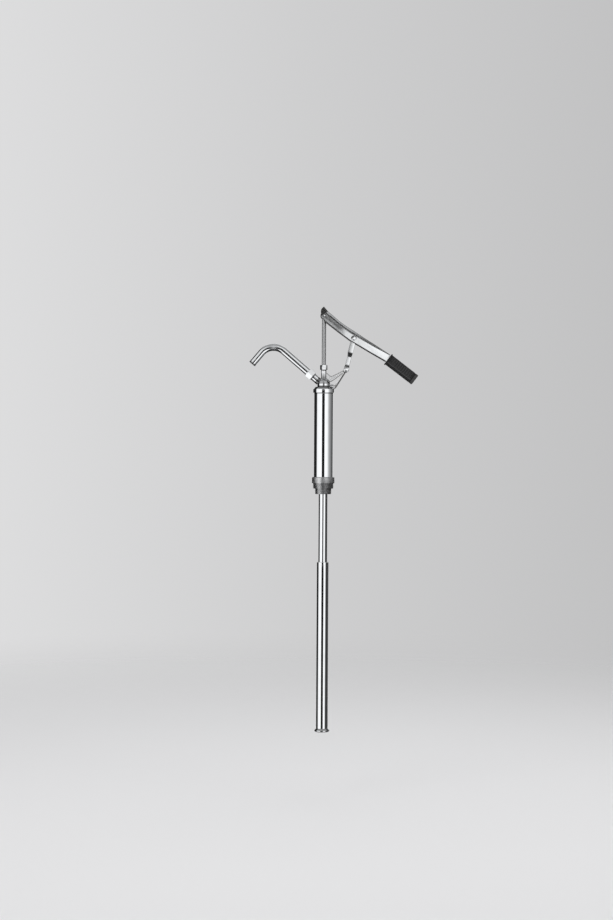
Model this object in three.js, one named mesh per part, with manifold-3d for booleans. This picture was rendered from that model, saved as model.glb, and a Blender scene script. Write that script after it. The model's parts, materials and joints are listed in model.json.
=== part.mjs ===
// Lever-action drum pump with a telescopic suction tube, in millimetres.
// The origin lies on the pump axis, where the bung adapter's flange seats on a drum.
// +Z is up, the spout reaches out along -X and the hand lever along +X.
import * as THREE from "three";
import { mergeVertices } from "three/addons/utils/BufferGeometryUtils.js";
import Module from "manifold-3d";

const wasm = await Module();
wasm.setup();

// Clearances between pieces
const fit = 0.3;
const slideFit = 0.35;
const linkSideGap = 0.5;

// Bung adapter
const flangeWall = 4.5;
const flangeHeight = 17.7;
const flangeChamfer = 1.5;
const largeThreadRadius = 29.8;
const largeThreadLength = 15.5;
const smallThreadRadius = 23.9;
const smallThreadLength = 16;
const threadDepth = 1.4;
const threadPitch = 2.31;
const socketFloor = 4.3;

// Barrel and its base plate
const barrelRadius = 27.75;
const barrelWall = 2;
const barrelTop = 267;
const basePlateThickness = 6;
const seatLipWidth = 2.5;
const seatLipHeight = 1.5;

// Inlet valve's disc and the cage over it
const discOverlap = 2.5;
const valveDiscThickness = 2.5;
const valveLift = 6;
const cagePlay = 1.5;
const cageBarThickness = 2;
const cageBarWidth = 5;
const cageBarDepth = 3.4;
const cageBars = 4;
const cageRingWidth = 5.5;
const cageRingLap = 1.1;

// Head cap, with its dome and neck
const capSkirtWall = 2.9;
const capSkirtOverlap = 6.5;
const capChamberHeight = 3.9;
const capRoof = 5.2;
const capBevelHeight = 6.7;
const capBevelWidth = 6;
const capLedge = 6.4;
const gasketThickness = 1;
const gasketLip = 1.2;
const domeWall = 6.6;
const domeWallHeight = 10;
const domeHeight = 25;
const neckWall = 1.45;
const neckHeight = 30.5;
const bushWall = 1.3;
const bushHeight = 6;
const bushDepth = 2.2;

// Piston rod and the gland nut that seals it
const rodRadius = 6;
const rodEyeWall = 5.7;
const rodShoulderWidth = 2;
const rodThreadEnd = 2.9;
const stroke = 110;
const strokeReserve = 12;
const glandWall = 1.45;
const glandOverlap = 6.6;
const glandRoof = 3;
const packingHeight = 4.8;

// Piston, counted downwards from the rod's shoulder
const stopWasherThickness = 2;
const stopWasherWidth = 8.7;
const sleeveWall = 2.7;
const pistonGap = 2.75;
const pistonDiscMargin = 4;
const pistonBodyHeight = 10;
const cupThickness = 3;
const cupSkirtHeight = 10;
const followerHeight = 8;
const spigotStep = 6;
const portRadius = 3;
const portCount = 6;
const pistonNutWall = 2.2;
const pistonNutHeight = 6.5;

// Spout and its union
const spoutRadius = 10.65;
const spoutWall = 1.5;
const spoutRise = 40.7;
const spoutDroop = 49.8;
const spoutAxisHeight = 3.4;
const spoutBendReach = 198.4;
const spoutBendRadius = 45;
const spoutEndReach = 88.3;
const spoutFlangeWidth = 1.15;
const spoutFlangeThickness = 2.6;
const spoutSealThickness = 1.7;
const nippleRadius = 10.75;
const nippleSpigotStep = 2.05;
const nippleSpigotWall = 2.7;
const nippleSpigotDepth = 2.7;
const nippleCollarLength = 16.5;
const nippleThreadLength = 10;
const unionWall = 1.4;
const unionBackWall = 5.1;
const unionChamfer = 1.4;

// Fulcrum bracket, with its saddle measured from the dome and from the neck's base
const fulcrumReach = 64.5;
const fulcrumRise = 49.3;
const eyeWall = 3.6;
const saddleRise = 15.8;
const saddleDipReach = 2.4;
const saddleDipRise = 5.6;
const armRootReach = 8.9;
const armRootRise = 8.4;
const armRootDepth = 14.4;
const armTipDepth = 6;
const braceFootReach = 2.6;
const braceDepth = 4.8;
const footOverhang = 4.6;
const footThickness = 5;
const screwReach = 5;
const screwRadius = 2.5;
const screwHeadWidth = 1.7;
const screwHeadHeight = 3.6;
const screwLength = 10;

// Link plates and their pins
const linkLength = 94;
const linkPlateThickness = 3;
const linkWaistHalfWidth = 6;
const linkWaistGap = 0.5;
const linkJoggleLength = 8;
const linkWaistLength = 24;
const linkSpreadLength = 12;
const pinRadius = 3.5;
const spacerWall = 2.5;
const fulcrumHeadWidth = 3.2;
const fulcrumHeadHeight = 2.6;

// Lever, in its own frame: u runs from the rod pin to the link pin, v is square to it
const leverRest = 37.14;
const leverArm = 108;
const leverSheet = 2;
const leverEnd = 221.4;
const leverHeadWall = 6.8;
const leverTip = [-16, 20.9];
const leverThroat = [13, -14];
// Places along u, each with the crown's height, the edge's height and the crown's rounding
const leverStations = [
  [-20, 21.8, -13, 9],
  [0, 17.6, -12.9, 8.8],
  [13, 16.9, -12.8, 8.7],
  [25, 16.4, -13, 8.6],
  [45, 15.2, -13.2, 8.4],
  [68, 15.8, -13.3, 8.2],
  [91, 17.9, -12.9, 8],
  [104, 18.7, -12.6, 7.6],
  [137, 20.6, -8.5, 6.6],
  [170, 23.6, -4.7, 4.6],
];
const leverMouth = [27, 2, 2.6];
const tangLength = 74.6;
const tangTop = 22.5;
const tangBottom = 3.5;
const tangHalfWidth = 8;
const tangRounding = 2.4;
const rivetHeadWidth = 2.8;
const rivetHeadHeight = 2.2;
const rodPinHeadWidth = 1.1;
const rodPinHeadHeight = 1.6;
const washerThickness = 1.4;
const washerWidth = 3.8;

// Grip on the lever's tang
const gripGap = 1.1;
const gripPlay = 0.4;
const gripEndWall = 26;
const gripSideWall = 6;
const gripTopWall = 6.4;
const gripTopFall = 0.8;
const gripBottomWall = 7.5;
const gripCorner = 7;
const gripLip = 2.2;
const gripLipLength = 4;
const gripEndRounding = 1.8;

// Telescopic suction tube with its foot valve
const innerTubeRadius = 13;
const innerTubeWall = 1.5;
const innerTubeLength = 490;
const tubeFlareWidth = 1.7;
const tubeFlareHeight = 2.6;
const tubeGap = 2.85;
const outerTubeWall = 1.5;
const outerTubeLength = 480.3;
const tubeExtension = 196.4;
const slideCollarHeight = 15.6;
const slideCollarInset = 0.4;
const slideSealHeight = 4;
const guideRingHeight = 10;
const guideRingInset = 2;
const footRimWidth = 4.65;
const footHeight = 9;
const footRimHeight = 4.6;
const footChamfer = 2;
const footSpigotWall = 4.5;
const footSpigotEdge = 2.4;
const footSeatHeight = 16;
const ballPlay = 3;
const ballSeatWidth = 1.5;
const ballLift = 5;
const crossPinRadius = 1.5;

// Facets on round pieces
const roundSides = 28;
const tubeSides = 20;
const smallSides = 12;

// Colours and finishes
const chrome = { color: 0xd9dbdd, roughness: 0.08, metalness: 1 };
const steel = { color: 0xb9bcbf, roughness: 0.28, metalness: 1 };
const zinc = { color: 0x8d9092, roughness: 0.5, metalness: 1 };
const brass = { color: 0xb89a54, roughness: 0.35, metalness: 1 };
const rubber = { color: 0x1c1c1d, roughness: 0.85, metalness: 0 };
const plastic = { color: 0x222324, roughness: 0.6, metalness: 0 };
const nylon = { color: 0xd8d6cc, roughness: 0.55, metalness: 0 };

// Barrel and head, worked out from the sizes
const barrelBore = barrelRadius - barrelWall;
const insertRadius = barrelBore - slideFit;
const socketRadius = barrelRadius + slideFit;
const plateBottom = socketFloor + fit;
const plateTop = plateBottom + basePlateThickness;
const seatTop = plateTop + seatLipHeight;
const cageRingInner = insertRadius - cageRingWidth;
const cageBarInner = cageRingInner - cageBarDepth;
const inletDiscRadius = cageBarInner - cagePlay;
const seatLipRadius = inletDiscRadius - discOverlap;
const inletBoreRadius = seatLipRadius - seatLipWidth;
const cageRoof = seatTop + valveDiscThickness + valveLift + 2 * fit;
const cageTop = cageRoof + cageBarThickness;
const headSeat = barrelTop + gasketThickness + 2 * fit;
const gasketInner = barrelBore - gasketLip;
const capSkirtRadius = socketRadius + capSkirtWall;
const capTopRadius = capSkirtRadius - capBevelWidth;
const capBottom = barrelTop - capSkirtOverlap;
const chamberTop = headSeat + capChamberHeight;
const capTop = chamberTop + capRoof;
const capBevelStart = capTop - capBevelHeight;
const domeRadius = capTopRadius - capLedge;
const domeBoreRadius = domeRadius - domeWall;
const domeChamberTop = capTop + domeWallHeight;
const rodBore = rodRadius + fit;
const bushRadius = rodBore + bushWall;
const neckRadius = rodBore + neckWall;
const neckBase = capTop + domeHeight;
const bushTop = neckBase - bushDepth;
const neckTop = neckBase + neckHeight;
const glandBottom = neckTop - glandOverlap;
const glandCeiling = neckTop + packingHeight + 2 * fit;
const glandTop = glandCeiling + glandRoof;
const glandAcrossFlats = 2 * (neckRadius + fit + glandWall);

// Widths of the lever, link and bracket, which nest inside each other across Y
const pinHoleRadius = pinRadius + fit;
const channelHalfGap = rodRadius + washerThickness + 2 * fit;
const leverHalfWidth = channelHalfGap + leverSheet;
const linkOuterFace = channelHalfGap - linkSideGap;
const linkInnerFace = linkOuterFace - linkPlateThickness;
const bracketHalfThickness = linkInnerFace - linkSideGap;
const eyeRadius = pinHoleRadius + eyeWall;
const rodEyeRadius = pinHoleRadius + rodEyeWall;
const leverHeadRadius = pinHoleRadius + leverHeadWall;

// Pivots of the lever and link in the XZ plane
const fulcrumHeight = capTop + fulcrumRise;
const fulcrum = [fulcrumReach, fulcrumHeight];
const leverAngle = -THREE.MathUtils.degToRad(leverRest);
const linkPinReach = leverArm * Math.cos(leverAngle);
const linkPinHeight = fulcrumHeight + Math.sqrt(linkLength ** 2 - (linkPinReach - fulcrumReach) ** 2);
const linkPin = [linkPinReach, linkPinHeight];
const linkAngle = Math.atan2(linkPinHeight - fulcrumHeight, linkPinReach - fulcrumReach);
const rodPinHeight = linkPinHeight - leverArm * Math.sin(leverAngle);

// Piston, stacked down from the rod's shoulder
const stubRadius = rodRadius - rodShoulderWidth;
const stubHole = stubRadius + fit;
const sleeveHeight = valveDiscThickness + valveLift + 2 * fit;
const sleeveRadius = stubHole + sleeveWall;
const pistonRadius = barrelBore - pistonGap;
const spigotRadius = pistonRadius - spigotStep;
const portCircle = (sleeveRadius + spigotRadius) / 2;
const clampHeight = stopWasherThickness + sleeveHeight + pistonBodyHeight + cupThickness + followerHeight;
const rodBottom = cageTop + strokeReserve + stroke;
const rodShoulder = rodBottom + rodThreadEnd + pistonNutHeight + clampHeight + 5 * fit;
const stopWasherTop = rodShoulder - fit;
const stopWasherBottom = stopWasherTop - stopWasherThickness;
const sleeveTop = stopWasherBottom - fit;
const pistonDiscBottom = sleeveTop - sleeveHeight;
const bodyTop = pistonDiscBottom - fit;
const bodyBottom = pistonDiscBottom - pistonBodyHeight;
const cupTop = bodyBottom - fit;
const cupBottom = cupTop - cupThickness;
const followerShoulder = cupBottom - fit;
const followerBottom = followerShoulder - followerHeight;
const pistonNutTop = followerBottom - fit;
const pistonNutBottom = pistonNutTop - pistonNutHeight;

// Distances along the spout's rising leg from the pump axis
const riseAngle = THREE.MathUtils.degToRad(spoutRise);
const droopAngle = THREE.MathUtils.degToRad(spoutDroop);
const spoutRoot = capTop + spoutAxisHeight;
const domeExit = domeRadius / Math.cos(riseAngle);
const nippleSpigotStart = domeExit - nippleSpigotDepth;
const nippleSpigotRadius = nippleRadius - nippleSpigotStep;
const nippleBoreRadius = nippleSpigotRadius - nippleSpigotWall;
const collarEnd = domeExit + nippleCollarLength;
const nippleThreadRadius = spoutRadius + spoutFlangeWidth;
const nippleThreadEnd = collarEnd + nippleThreadLength;
const sealStart = nippleThreadEnd + fit;
const sealEnd = sealStart + spoutSealThickness;
const spoutStart = sealEnd + fit;
const unionStart = collarEnd + fit;
const unionCeiling = spoutStart + spoutFlangeThickness + fit;
const unionEnd = unionCeiling + unionBackWall;
const unionAcrossFlats = 2 * (nippleThreadRadius + fit + unionWall);

// Suction tube and foot valve
const flangeRadius = socketRadius + flangeWall;
const innerTubeTop = socketFloor;
const innerTubeBottom = innerTubeTop - innerTubeLength;
const outerTubeBore = innerTubeRadius + tubeGap;
const outerTubeRadius = outerTubeBore + outerTubeWall;
const outerTubeTop = -largeThreadLength - smallThreadLength - tubeExtension;
const outerTubeBottom = outerTubeTop - outerTubeLength;
const slideCollarTop = outerTubeTop - slideCollarInset;
const slideCollarBottom = slideCollarTop - slideCollarHeight;
const slideSealTop = slideCollarBottom - fit;
const guideRingBottom = innerTubeBottom + guideRingInset;
const footTop = outerTubeBottom - fit;
const footBottom = footTop - footHeight;
const footSpigotRadius = outerTubeBore - slideFit;
const footChamberRadius = footSpigotRadius - footSpigotWall;
const ballRadius = footChamberRadius - ballPlay;
const footBoreRadius = ballRadius - ballSeatWidth;
const footSeat = footBottom + footSeatHeight;
const ballHeight = footSeat + Math.sqrt(ballRadius ** 2 - footBoreRadius ** 2) + fit;
const crossPinHeight = ballHeight + ballRadius + ballLift + crossPinRadius + fit;
const footSpigotTop = crossPinHeight + crossPinRadius + fit + footSpigotEdge;

// Every piece's mesh, at its place in the pump
const pump = new THREE.Group();

function piece(name, geometry, finish) {
  geometry.computeVertexNormals();
  const mesh = new THREE.Mesh(geometry, new THREE.MeshStandardMaterial(finish));
  mesh.name = name;
  pump.add(mesh);
}

// Solid for joining and cutting, from a closed geometry
function solidOf(geometry) {
  const bare = geometry.clone();
  bare.deleteAttribute("normal");
  bare.deleteAttribute("uv");
  const merged = mergeVertices(bare, 1e-4);
  const vertProperties = new Float32Array(merged.attributes.position.array);
  const triVerts = new Uint32Array(merged.index.array);
  return new wasm.Manifold(new wasm.Mesh({ numProp: 3, vertProperties, triVerts }));
}

function geometryOf(solid) {
  const mesh = solid.getMesh();
  const geometry = new THREE.BufferGeometry();
  geometry.setAttribute("position", new THREE.BufferAttribute(mesh.vertProperties, 3));
  geometry.setIndex(new THREE.BufferAttribute(mesh.triVerts, 1));
  return geometry;
}

function cut(body, ...tools) {
  return geometryOf(tools.reduce((left, tool) => left.subtract(solidOf(tool)), solidOf(body)));
}

function join(...bodies) {
  return geometryOf(bodies.map(solidOf).reduce((whole, part) => whole.add(part)));
}

function common(body, other) {
  return geometryOf(solidOf(body).intersect(solidOf(other)));
}

// Turned piece about Z, from [radius, height] points that run anticlockwise
function turned(points, sides = roundSides) {
  const profile = points.map(([radius, height]) => new THREE.Vector2(radius, height));
  if (points[0][0] > 0) {
    profile.push(profile[0].clone());
  }
  return new THREE.LatheGeometry(profile, sides).rotateX(Math.PI / 2);
}

function ring(inner, outer, bottom, top, sides = roundSides) {
  return turned([[inner, bottom], [outer, bottom], [outer, top], [inner, top]], sides);
}

function bar(radius, bottom, top, sides = smallSides) {
  return turned([[0, bottom], [radius, bottom], [radius, top], [0, top]], sides);
}

// Turned piece laid along Y, at a place in the XZ plane
function crosswise(geometry, x, z) {
  return geometry.rotateX(-Math.PI / 2).translate(x, 0, z);
}

// Hexagonal bar about Z, with a flat facing the viewer along Y
function hexBar(acrossFlats, bottom, top) {
  return bar(acrossFlats / Math.sqrt(3), bottom, top, 6).rotateZ(Math.PI / 6);
}

// Plate with an outline in the XZ plane, centred on Y
function plate(outline, thickness) {
  const settings = { depth: thickness, bevelEnabled: false, curveSegments: 10 };
  return new THREE.ExtrudeGeometry(outline, settings).translate(0, 0, -thickness / 2).rotateX(Math.PI / 2);
}

function outlineOf(points) {
  return new THREE.Shape(points.map(([x, z]) => new THREE.Vector2(x, z)));
}

// Box between two corners
function boxAt(low, high) {
  const size = high.map((value, axis) => value - low[axis]);
  const middle = high.map((value, axis) => (value + low[axis]) / 2);
  return new THREE.BoxGeometry(...size).translate(...middle);
}

// Thread ridges up a turned profile, from bottom to top
function threadPoints(crest, bottom, length) {
  const turns = Math.floor(length / threadPitch);
  const step = length / turns;
  const points = [];
  for (let turn = 0; turn < turns; turn += 1) {
    const base = bottom + turn * step;
    points.push([crest - threadDepth, base + step * 0.1], [crest, base + step * 0.6]);
  }
  return points;
}

function bungAdapter() {
  const smallBottom = -largeThreadLength - smallThreadLength;
  const floorBore = innerTubeRadius + slideFit;
  const flareBore = innerTubeRadius + tubeFlareWidth + fit;
  const flareFloor = innerTubeTop - tubeFlareHeight - fit;
  return turned([
    [floorBore, smallBottom],
    ...threadPoints(smallThreadRadius, smallBottom, smallThreadLength),
    ...threadPoints(largeThreadRadius, -largeThreadLength, largeThreadLength),
    [largeThreadRadius, 0],
    [flangeRadius, 0],
    [flangeRadius, flangeHeight - flangeChamfer],
    [flangeRadius - flangeChamfer, flangeHeight],
    [socketRadius, flangeHeight],
    [socketRadius, socketFloor],
    [flareBore, socketFloor],
    [flareBore, flareFloor],
    [floorBore, flareFloor],
  ]);
}

function suctionTubeInner() {
  const bore = innerTubeRadius - innerTubeWall;
  const flare = innerTubeRadius + tubeFlareWidth;
  return turned([
    [bore, innerTubeBottom],
    [innerTubeRadius, innerTubeBottom],
    [innerTubeRadius, innerTubeTop - tubeFlareHeight],
    [flare, innerTubeTop - tubeFlareHeight],
    [flare, innerTubeTop],
    [bore, innerTubeTop],
  ], tubeSides);
}

function barrelBase() {
  return turned([
    [inletBoreRadius, plateBottom],
    [insertRadius, plateBottom],
    [insertRadius, plateTop],
    [seatLipRadius, plateTop],
    [seatLipRadius, seatTop],
    [inletBoreRadius, seatTop],
  ]);
}

function inletCage() {
  const bottom = plateTop + fit;
  const barOuter = cageRingInner + cageRingLap;
  const middle = cageBarThickness / 2;
  const halfBar = cageBarWidth / 2;
  const parts = [
    ring(cageRingInner, insertRadius, bottom, bottom + cageBarThickness),
    ring(inletBoreRadius, barOuter, cageRoof, cageTop),
  ];
  for (let index = 0; index < cageBars; index += 1) {
    const post = boxAt([cageBarInner, -halfBar, bottom + middle], [barOuter - fit, halfBar, cageRoof + middle]);
    parts.push(post.rotateZ((index * 2 * Math.PI) / cageBars));
  }
  return join(...parts);
}

// Outer shape of the head, with some allowance all round
function headEnvelope(grow) {
  const dome = domeRadius + grow;
  const domeRise = domeHeight - domeWallHeight;
  const points = [
    [0, capBottom - grow],
    [capSkirtRadius + grow, capBottom - grow],
    [capSkirtRadius + grow, capBevelStart + grow / 2],
    [capTopRadius + grow / 2, capTop + grow],
    [dome, capTop + grow],
    [dome, domeChamberTop],
  ];
  for (const angle of [15, 30, 45, 60]) {
    const turn = THREE.MathUtils.degToRad(angle);
    points.push([dome * Math.cos(turn), domeChamberTop + (domeRise + grow) * Math.sin(turn)]);
  }
  points.push([neckRadius + grow, neckBase + grow], [neckRadius + grow, neckTop + grow], [0, neckTop + grow]);
  return points;
}

// Turns a piece built along Z to lie along the spout's rising leg
function alongSpout(geometry) {
  return geometry.rotateY(riseAngle - Math.PI / 2).translate(0, 0, spoutRoot);
}

function headCap() {
  const outside = turned(headEnvelope(0));
  const hollow = turned([
    [0, capBottom - 1],
    [socketRadius, capBottom - 1],
    [socketRadius, headSeat],
    [gasketInner - fit, headSeat],
    [gasketInner - fit, chamberTop],
    [domeBoreRadius, chamberTop],
    [domeBoreRadius, domeChamberTop],
    [bushRadius + fit, domeChamberTop],
    [bushRadius + fit, bushTop + fit],
    [rodBore, bushTop + fit],
    [rodBore, neckTop + 1],
    [0, neckTop + 1],
  ]);
  const outletStart = domeBoreRadius / 2;
  const outletEnd = 2 * domeExit;
  const outletHole = alongSpout(turned([
    [0, outletStart],
    [nippleBoreRadius, outletStart],
    [nippleBoreRadius, nippleSpigotStart - fit],
    [nippleSpigotRadius + fit, nippleSpigotStart - fit],
    [nippleSpigotRadius + fit, outletEnd],
    [0, outletEnd],
  ], tubeSides));
  return cut(outside, hollow, outletHole, screwHole());
}

function rodGuideBush() {
  return ring(rodBore, bushRadius, bushTop - bushHeight, bushTop, tubeSides);
}

function glandNut() {
  const bore = turned([
    [0, glandBottom - 1],
    [neckRadius + fit, glandBottom - 1],
    [neckRadius + fit, glandCeiling],
    [rodBore, glandCeiling],
    [rodBore, glandTop + 1],
    [0, glandTop + 1],
  ], tubeSides);
  const flat = glandAcrossFlats / 2;
  const edge = turned([
    [0, glandBottom],
    [flat + 1.1, glandBottom],
    [flat + 1.6, glandBottom + 1],
    [flat + 1.6, glandTop - 1],
    [flat + 0.3, glandTop],
    [0, glandTop],
  ], tubeSides);
  return cut(common(hexBar(glandAcrossFlats, glandBottom, glandTop), edge), bore);
}

function glandPacking() {
  return ring(rodBore, neckRadius, neckTop + fit, glandCeiling - fit, tubeSides);
}

function outletNipple() {
  const collarStart = domeRadius - 1;
  const body = turned([
    [nippleBoreRadius, nippleSpigotStart],
    [nippleSpigotRadius, nippleSpigotStart],
    [nippleSpigotRadius, collarStart],
    [nippleRadius, collarStart],
    [nippleRadius, collarEnd],
    [nippleThreadRadius, collarEnd],
    [nippleThreadRadius, nippleThreadEnd],
    [nippleBoreRadius, nippleThreadEnd],
  ], tubeSides);
  const lap = 0.1;
  const shell = ring(nippleSpigotRadius - lap, 2 * nippleRadius, 0, collarEnd - 1, tubeSides);
  return cut(alongSpout(body), common(turned(headEnvelope(fit)), alongSpout(shell)));
}

function spoutUnionNut() {
  const bore = turned([
    [0, unionStart - 1],
    [nippleThreadRadius + fit, unionStart - 1],
    [nippleThreadRadius + fit, unionCeiling],
    [spoutRadius + fit, unionCeiling],
    [spoutRadius + fit, unionEnd + 1],
    [0, unionEnd + 1],
  ], tubeSides);
  const outer = unionAcrossFlats / Math.sqrt(3);
  const edge = turned([
    [0, unionStart],
    [outer - unionChamfer, unionStart],
    [outer, unionStart + unionChamfer],
    [outer, unionEnd - unionChamfer],
    [outer - unionChamfer, unionEnd],
    [0, unionEnd],
  ], tubeSides);
  const cornerForward = hexBar(unionAcrossFlats, unionStart, unionEnd).rotateZ(Math.PI / 6);
  return alongSpout(cut(common(cornerForward, edge), bore));
}

function spoutSeal() {
  return alongSpout(ring(nippleBoreRadius, nippleThreadRadius - fit, sealStart, sealEnd, tubeSides));
}

// Path through given stops, each with its own heading
class TubePath extends THREE.Curve {
  constructor(stops, headings) {
    super();
    this.stops = stops;
    this.headings = headings;
  }

  stopAt(share) {
    return Math.round(share * (this.stops.length - 1));
  }

  getPointAt(share) {
    return this.stops[this.stopAt(share)].clone();
  }

  getTangentAt(share) {
    return this.headings[this.stopAt(share)].clone();
  }
}

// Bent tube, from its flange inside the union to its mouth
function spoutTube() {
  const heading = (angle) => new THREE.Vector3(-Math.cos(angle), 0, Math.sin(angle));
  const root = new THREE.Vector3(0, 0, spoutRoot);
  const up = heading(riseAngle);
  const corner = root.clone().addScaledVector(up, spoutBendReach);
  const trim = spoutBendRadius * Math.tan((riseAngle + droopAngle) / 2);
  const bendStart = corner.clone().addScaledVector(up, -trim);
  const centre = bendStart.clone().addScaledVector(heading(riseAngle - Math.PI / 2), spoutBendRadius);
  const stops = [root.clone().addScaledVector(up, spoutStart + spoutFlangeThickness / 2)];
  const headings = [up];
  const bendSteps = 11;
  for (let step = 0; step <= bendSteps; step += 1) {
    const angle = riseAngle - ((riseAngle + droopAngle) * step) / bendSteps;
    stops.push(centre.clone().addScaledVector(heading(angle + Math.PI / 2), spoutBendRadius));
    headings.push(heading(angle));
  }
  const down = heading(-droopAngle);
  stops.push(corner.clone().addScaledVector(down, spoutEndReach));
  headings.push(down);
  const section = new THREE.Shape();
  section.absarc(0, 0, spoutRadius, 0, 2 * Math.PI);
  const bore = new THREE.Path();
  bore.absarc(0, 0, spoutRadius - spoutWall, 0, 2 * Math.PI);
  section.holes.push(bore);
  const tube = new THREE.ExtrudeGeometry(section, {
    steps: stops.length - 1,
    curveSegments: tubeSides / 2,
    extrudePath: new TubePath(stops, headings),
    bevelEnabled: false,
  });
  const flangeEnd = spoutStart + spoutFlangeThickness;
  const flange = ring(spoutRadius - spoutWall / 2, nippleThreadRadius, spoutStart, flangeEnd, tubeSides);
  return join(tube, alongSpout(flange));
}

// Outline of a straight strip between two points of the XZ plane
function strip(start, end, depth) {
  const heading = new THREE.Vector2(end[0] - start[0], end[1] - start[1]).normalize();
  const square = [(-heading.y * depth) / 2, (heading.x * depth) / 2];
  return outlineOf([
    [start[0] - square[0], start[1] - square[1]],
    [end[0] - square[0], end[1] - square[1]],
    [end[0] + square[0], end[1] + square[1]],
    [start[0] + square[0], start[1] + square[1]],
  ]);
}

// Clearance hole of the bracket's screw
function screwHole() {
  return bar(screwRadius + fit, capTop - screwLength, capTop + screwLength)
    .translate(domeRadius + screwReach, 0, 0);
}

// Cast arm that hugs the dome and neck, with a brace down to the cap's rim
function fulcrumBracket() {
  const inside = neckRadius / 2;
  const dip = domeRadius + saddleDipReach;
  const root = domeRadius + armRootReach;
  const rootTop = neckBase + armRootRise;
  const rootBottom = rootTop - armRootDepth;
  const heel = rootBottom - 4;
  const arm = outlineOf([
    [inside, heel],
    [dip, heel],
    [root, rootBottom],
    [fulcrumReach, fulcrumHeight - armTipDepth / 2],
    [fulcrumReach, fulcrumHeight + armTipDepth / 2],
    [root, rootTop],
    [dip, neckBase + saddleDipRise],
    [neckRadius + 1.5, neckBase + saddleRise - 0.4],
    [inside, neckBase + saddleRise],
  ]);
  const rim = capSkirtRadius + footOverhang;
  const braceFoot = capSkirtRadius + braceFootReach;
  const screwEdge = domeRadius + screwReach + screwRadius + screwHeadWidth + 1;
  const foot = outlineOf([
    [domeRadius / 2, capBevelStart],
    [capSkirtRadius, capBevelStart],
    [rim, capTop - footThickness / 3],
    [braceFoot - 2, capTop + footThickness + 1],
    [screwEdge, capTop + footThickness],
    [domeRadius / 2, capTop + footThickness],
  ]);
  const brace = strip([braceFoot, capTop], fulcrum, braceDepth);
  const eye = bar(eyeRadius, -bracketHalfThickness, bracketHalfThickness, tubeSides);
  const arms = [arm, foot, brace].map((outline) => plate(outline, 2 * bracketHalfThickness));
  const body = join(...arms, crosswise(eye, ...fulcrum));
  const pinHole = crosswise(bar(pinHoleRadius, -leverHalfWidth, leverHalfWidth), ...fulcrum);
  return cut(body, pinHole, screwHole(), turned(headEnvelope(fit)));
}

function bracketScrew() {
  const seat = capTop + footThickness + fit;
  const head = screwRadius + screwHeadWidth;
  return turned([
    [0, seat - screwLength],
    [screwRadius, seat - screwLength],
    [screwRadius, seat],
    [head, seat],
    [head, seat + screwHeadHeight / 2],
    [head * 0.55, seat + screwHeadHeight],
    [0, seat + screwHeadHeight],
  ], smallSides).translate(domeRadius + screwReach, 0, 0);
}

// Turns a piece built along X, with Z up, to lie along the link from the fulcrum pin
function alongLink(geometry) {
  return geometry.rotateY(-linkAngle).translate(fulcrumReach, 0, fulcrumHeight);
}

// One of the two pressed plates, on the side of the given sign
function linkPlate(side) {
  const waistFace = linkWaistGap / 2;
  const forkEnd = eyeRadius;
  const waistStart = forkEnd + linkJoggleLength;
  const waistEnd = waistStart + linkWaistLength;
  const headStart = waistEnd + linkSpreadLength;
  const inner = [
    [-eyeRadius, linkInnerFace],
    [forkEnd, linkInnerFace],
    [waistStart, waistFace],
    [waistEnd, waistFace],
    [headStart, linkInnerFace],
    [linkLength + eyeRadius, linkInnerFace],
  ];
  const outer = inner.map(([along, away]) => [along, away + linkPlateThickness]).reverse();
  const section = outlineOf([...inner, ...outer]);
  const height = 3 * eyeRadius;
  const pressed = new THREE.ExtrudeGeometry(section, { depth: height, bevelEnabled: false })
    .translate(0, 0, -height / 2);
  const face = new THREE.Shape();
  face.absarc(0, 0, eyeRadius, Math.PI / 2, (3 * Math.PI) / 2, false);
  face.lineTo(forkEnd, -eyeRadius);
  face.lineTo(waistStart, -linkWaistHalfWidth);
  face.lineTo(waistEnd, -linkWaistHalfWidth);
  face.lineTo(headStart, -eyeRadius);
  face.absarc(linkLength, 0, eyeRadius, -Math.PI / 2, Math.PI / 2, false);
  face.lineTo(headStart, eyeRadius);
  face.lineTo(waistEnd, linkWaistHalfWidth);
  face.lineTo(waistStart, linkWaistHalfWidth);
  face.lineTo(forkEnd, eyeRadius);
  const trimmed = common(pressed, plate(face, 4 * linkOuterFace));
  const holes = [0, linkLength].map((along) => crosswise(bar(pinHoleRadius, 0, 2 * linkOuterFace), along, 0));
  const made = cut(trimmed, ...holes);
  return alongLink(side > 0 ? made : made.rotateX(Math.PI));
}

// Profile of a low domed head on a seat
function domedHead(radius, seat, height) {
  return [
    [radius, seat],
    [radius, seat + height * 0.35],
    [radius * 0.8, seat + height * 0.8],
    [radius * 0.4, seat + height],
    [0, seat + height],
  ];
}

// Pin along Y with a domed head outside each face
function headedPin(face, headWidth, headHeight) {
  const seat = face + fit;
  const head = domedHead(pinRadius + headWidth, seat, headHeight);
  const below = head.map(([across, along]) => [across, -along]).reverse();
  return turned([...below, [pinRadius, -seat], [pinRadius, seat], ...head], smallSides);
}

function fulcrumPin() {
  return crosswise(headedPin(linkOuterFace, fulcrumHeadWidth, fulcrumHeadHeight), ...fulcrum);
}

function linkPinBar() {
  const reach = (linkOuterFace + channelHalfGap) / 2;
  return crosswise(bar(pinRadius, -reach, reach), ...linkPin);
}

function linkSpacer() {
  const reach = linkInnerFace - fit;
  return crosswise(ring(pinHoleRadius, pinHoleRadius + spacerWall, -reach, reach, smallSides), ...linkPin);
}

// Turns a piece built in the lever's frame to its place at rest
function alongLever(geometry) {
  return geometry.rotateY(-leverAngle).translate(0, 0, rodPinHeight);
}

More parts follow.
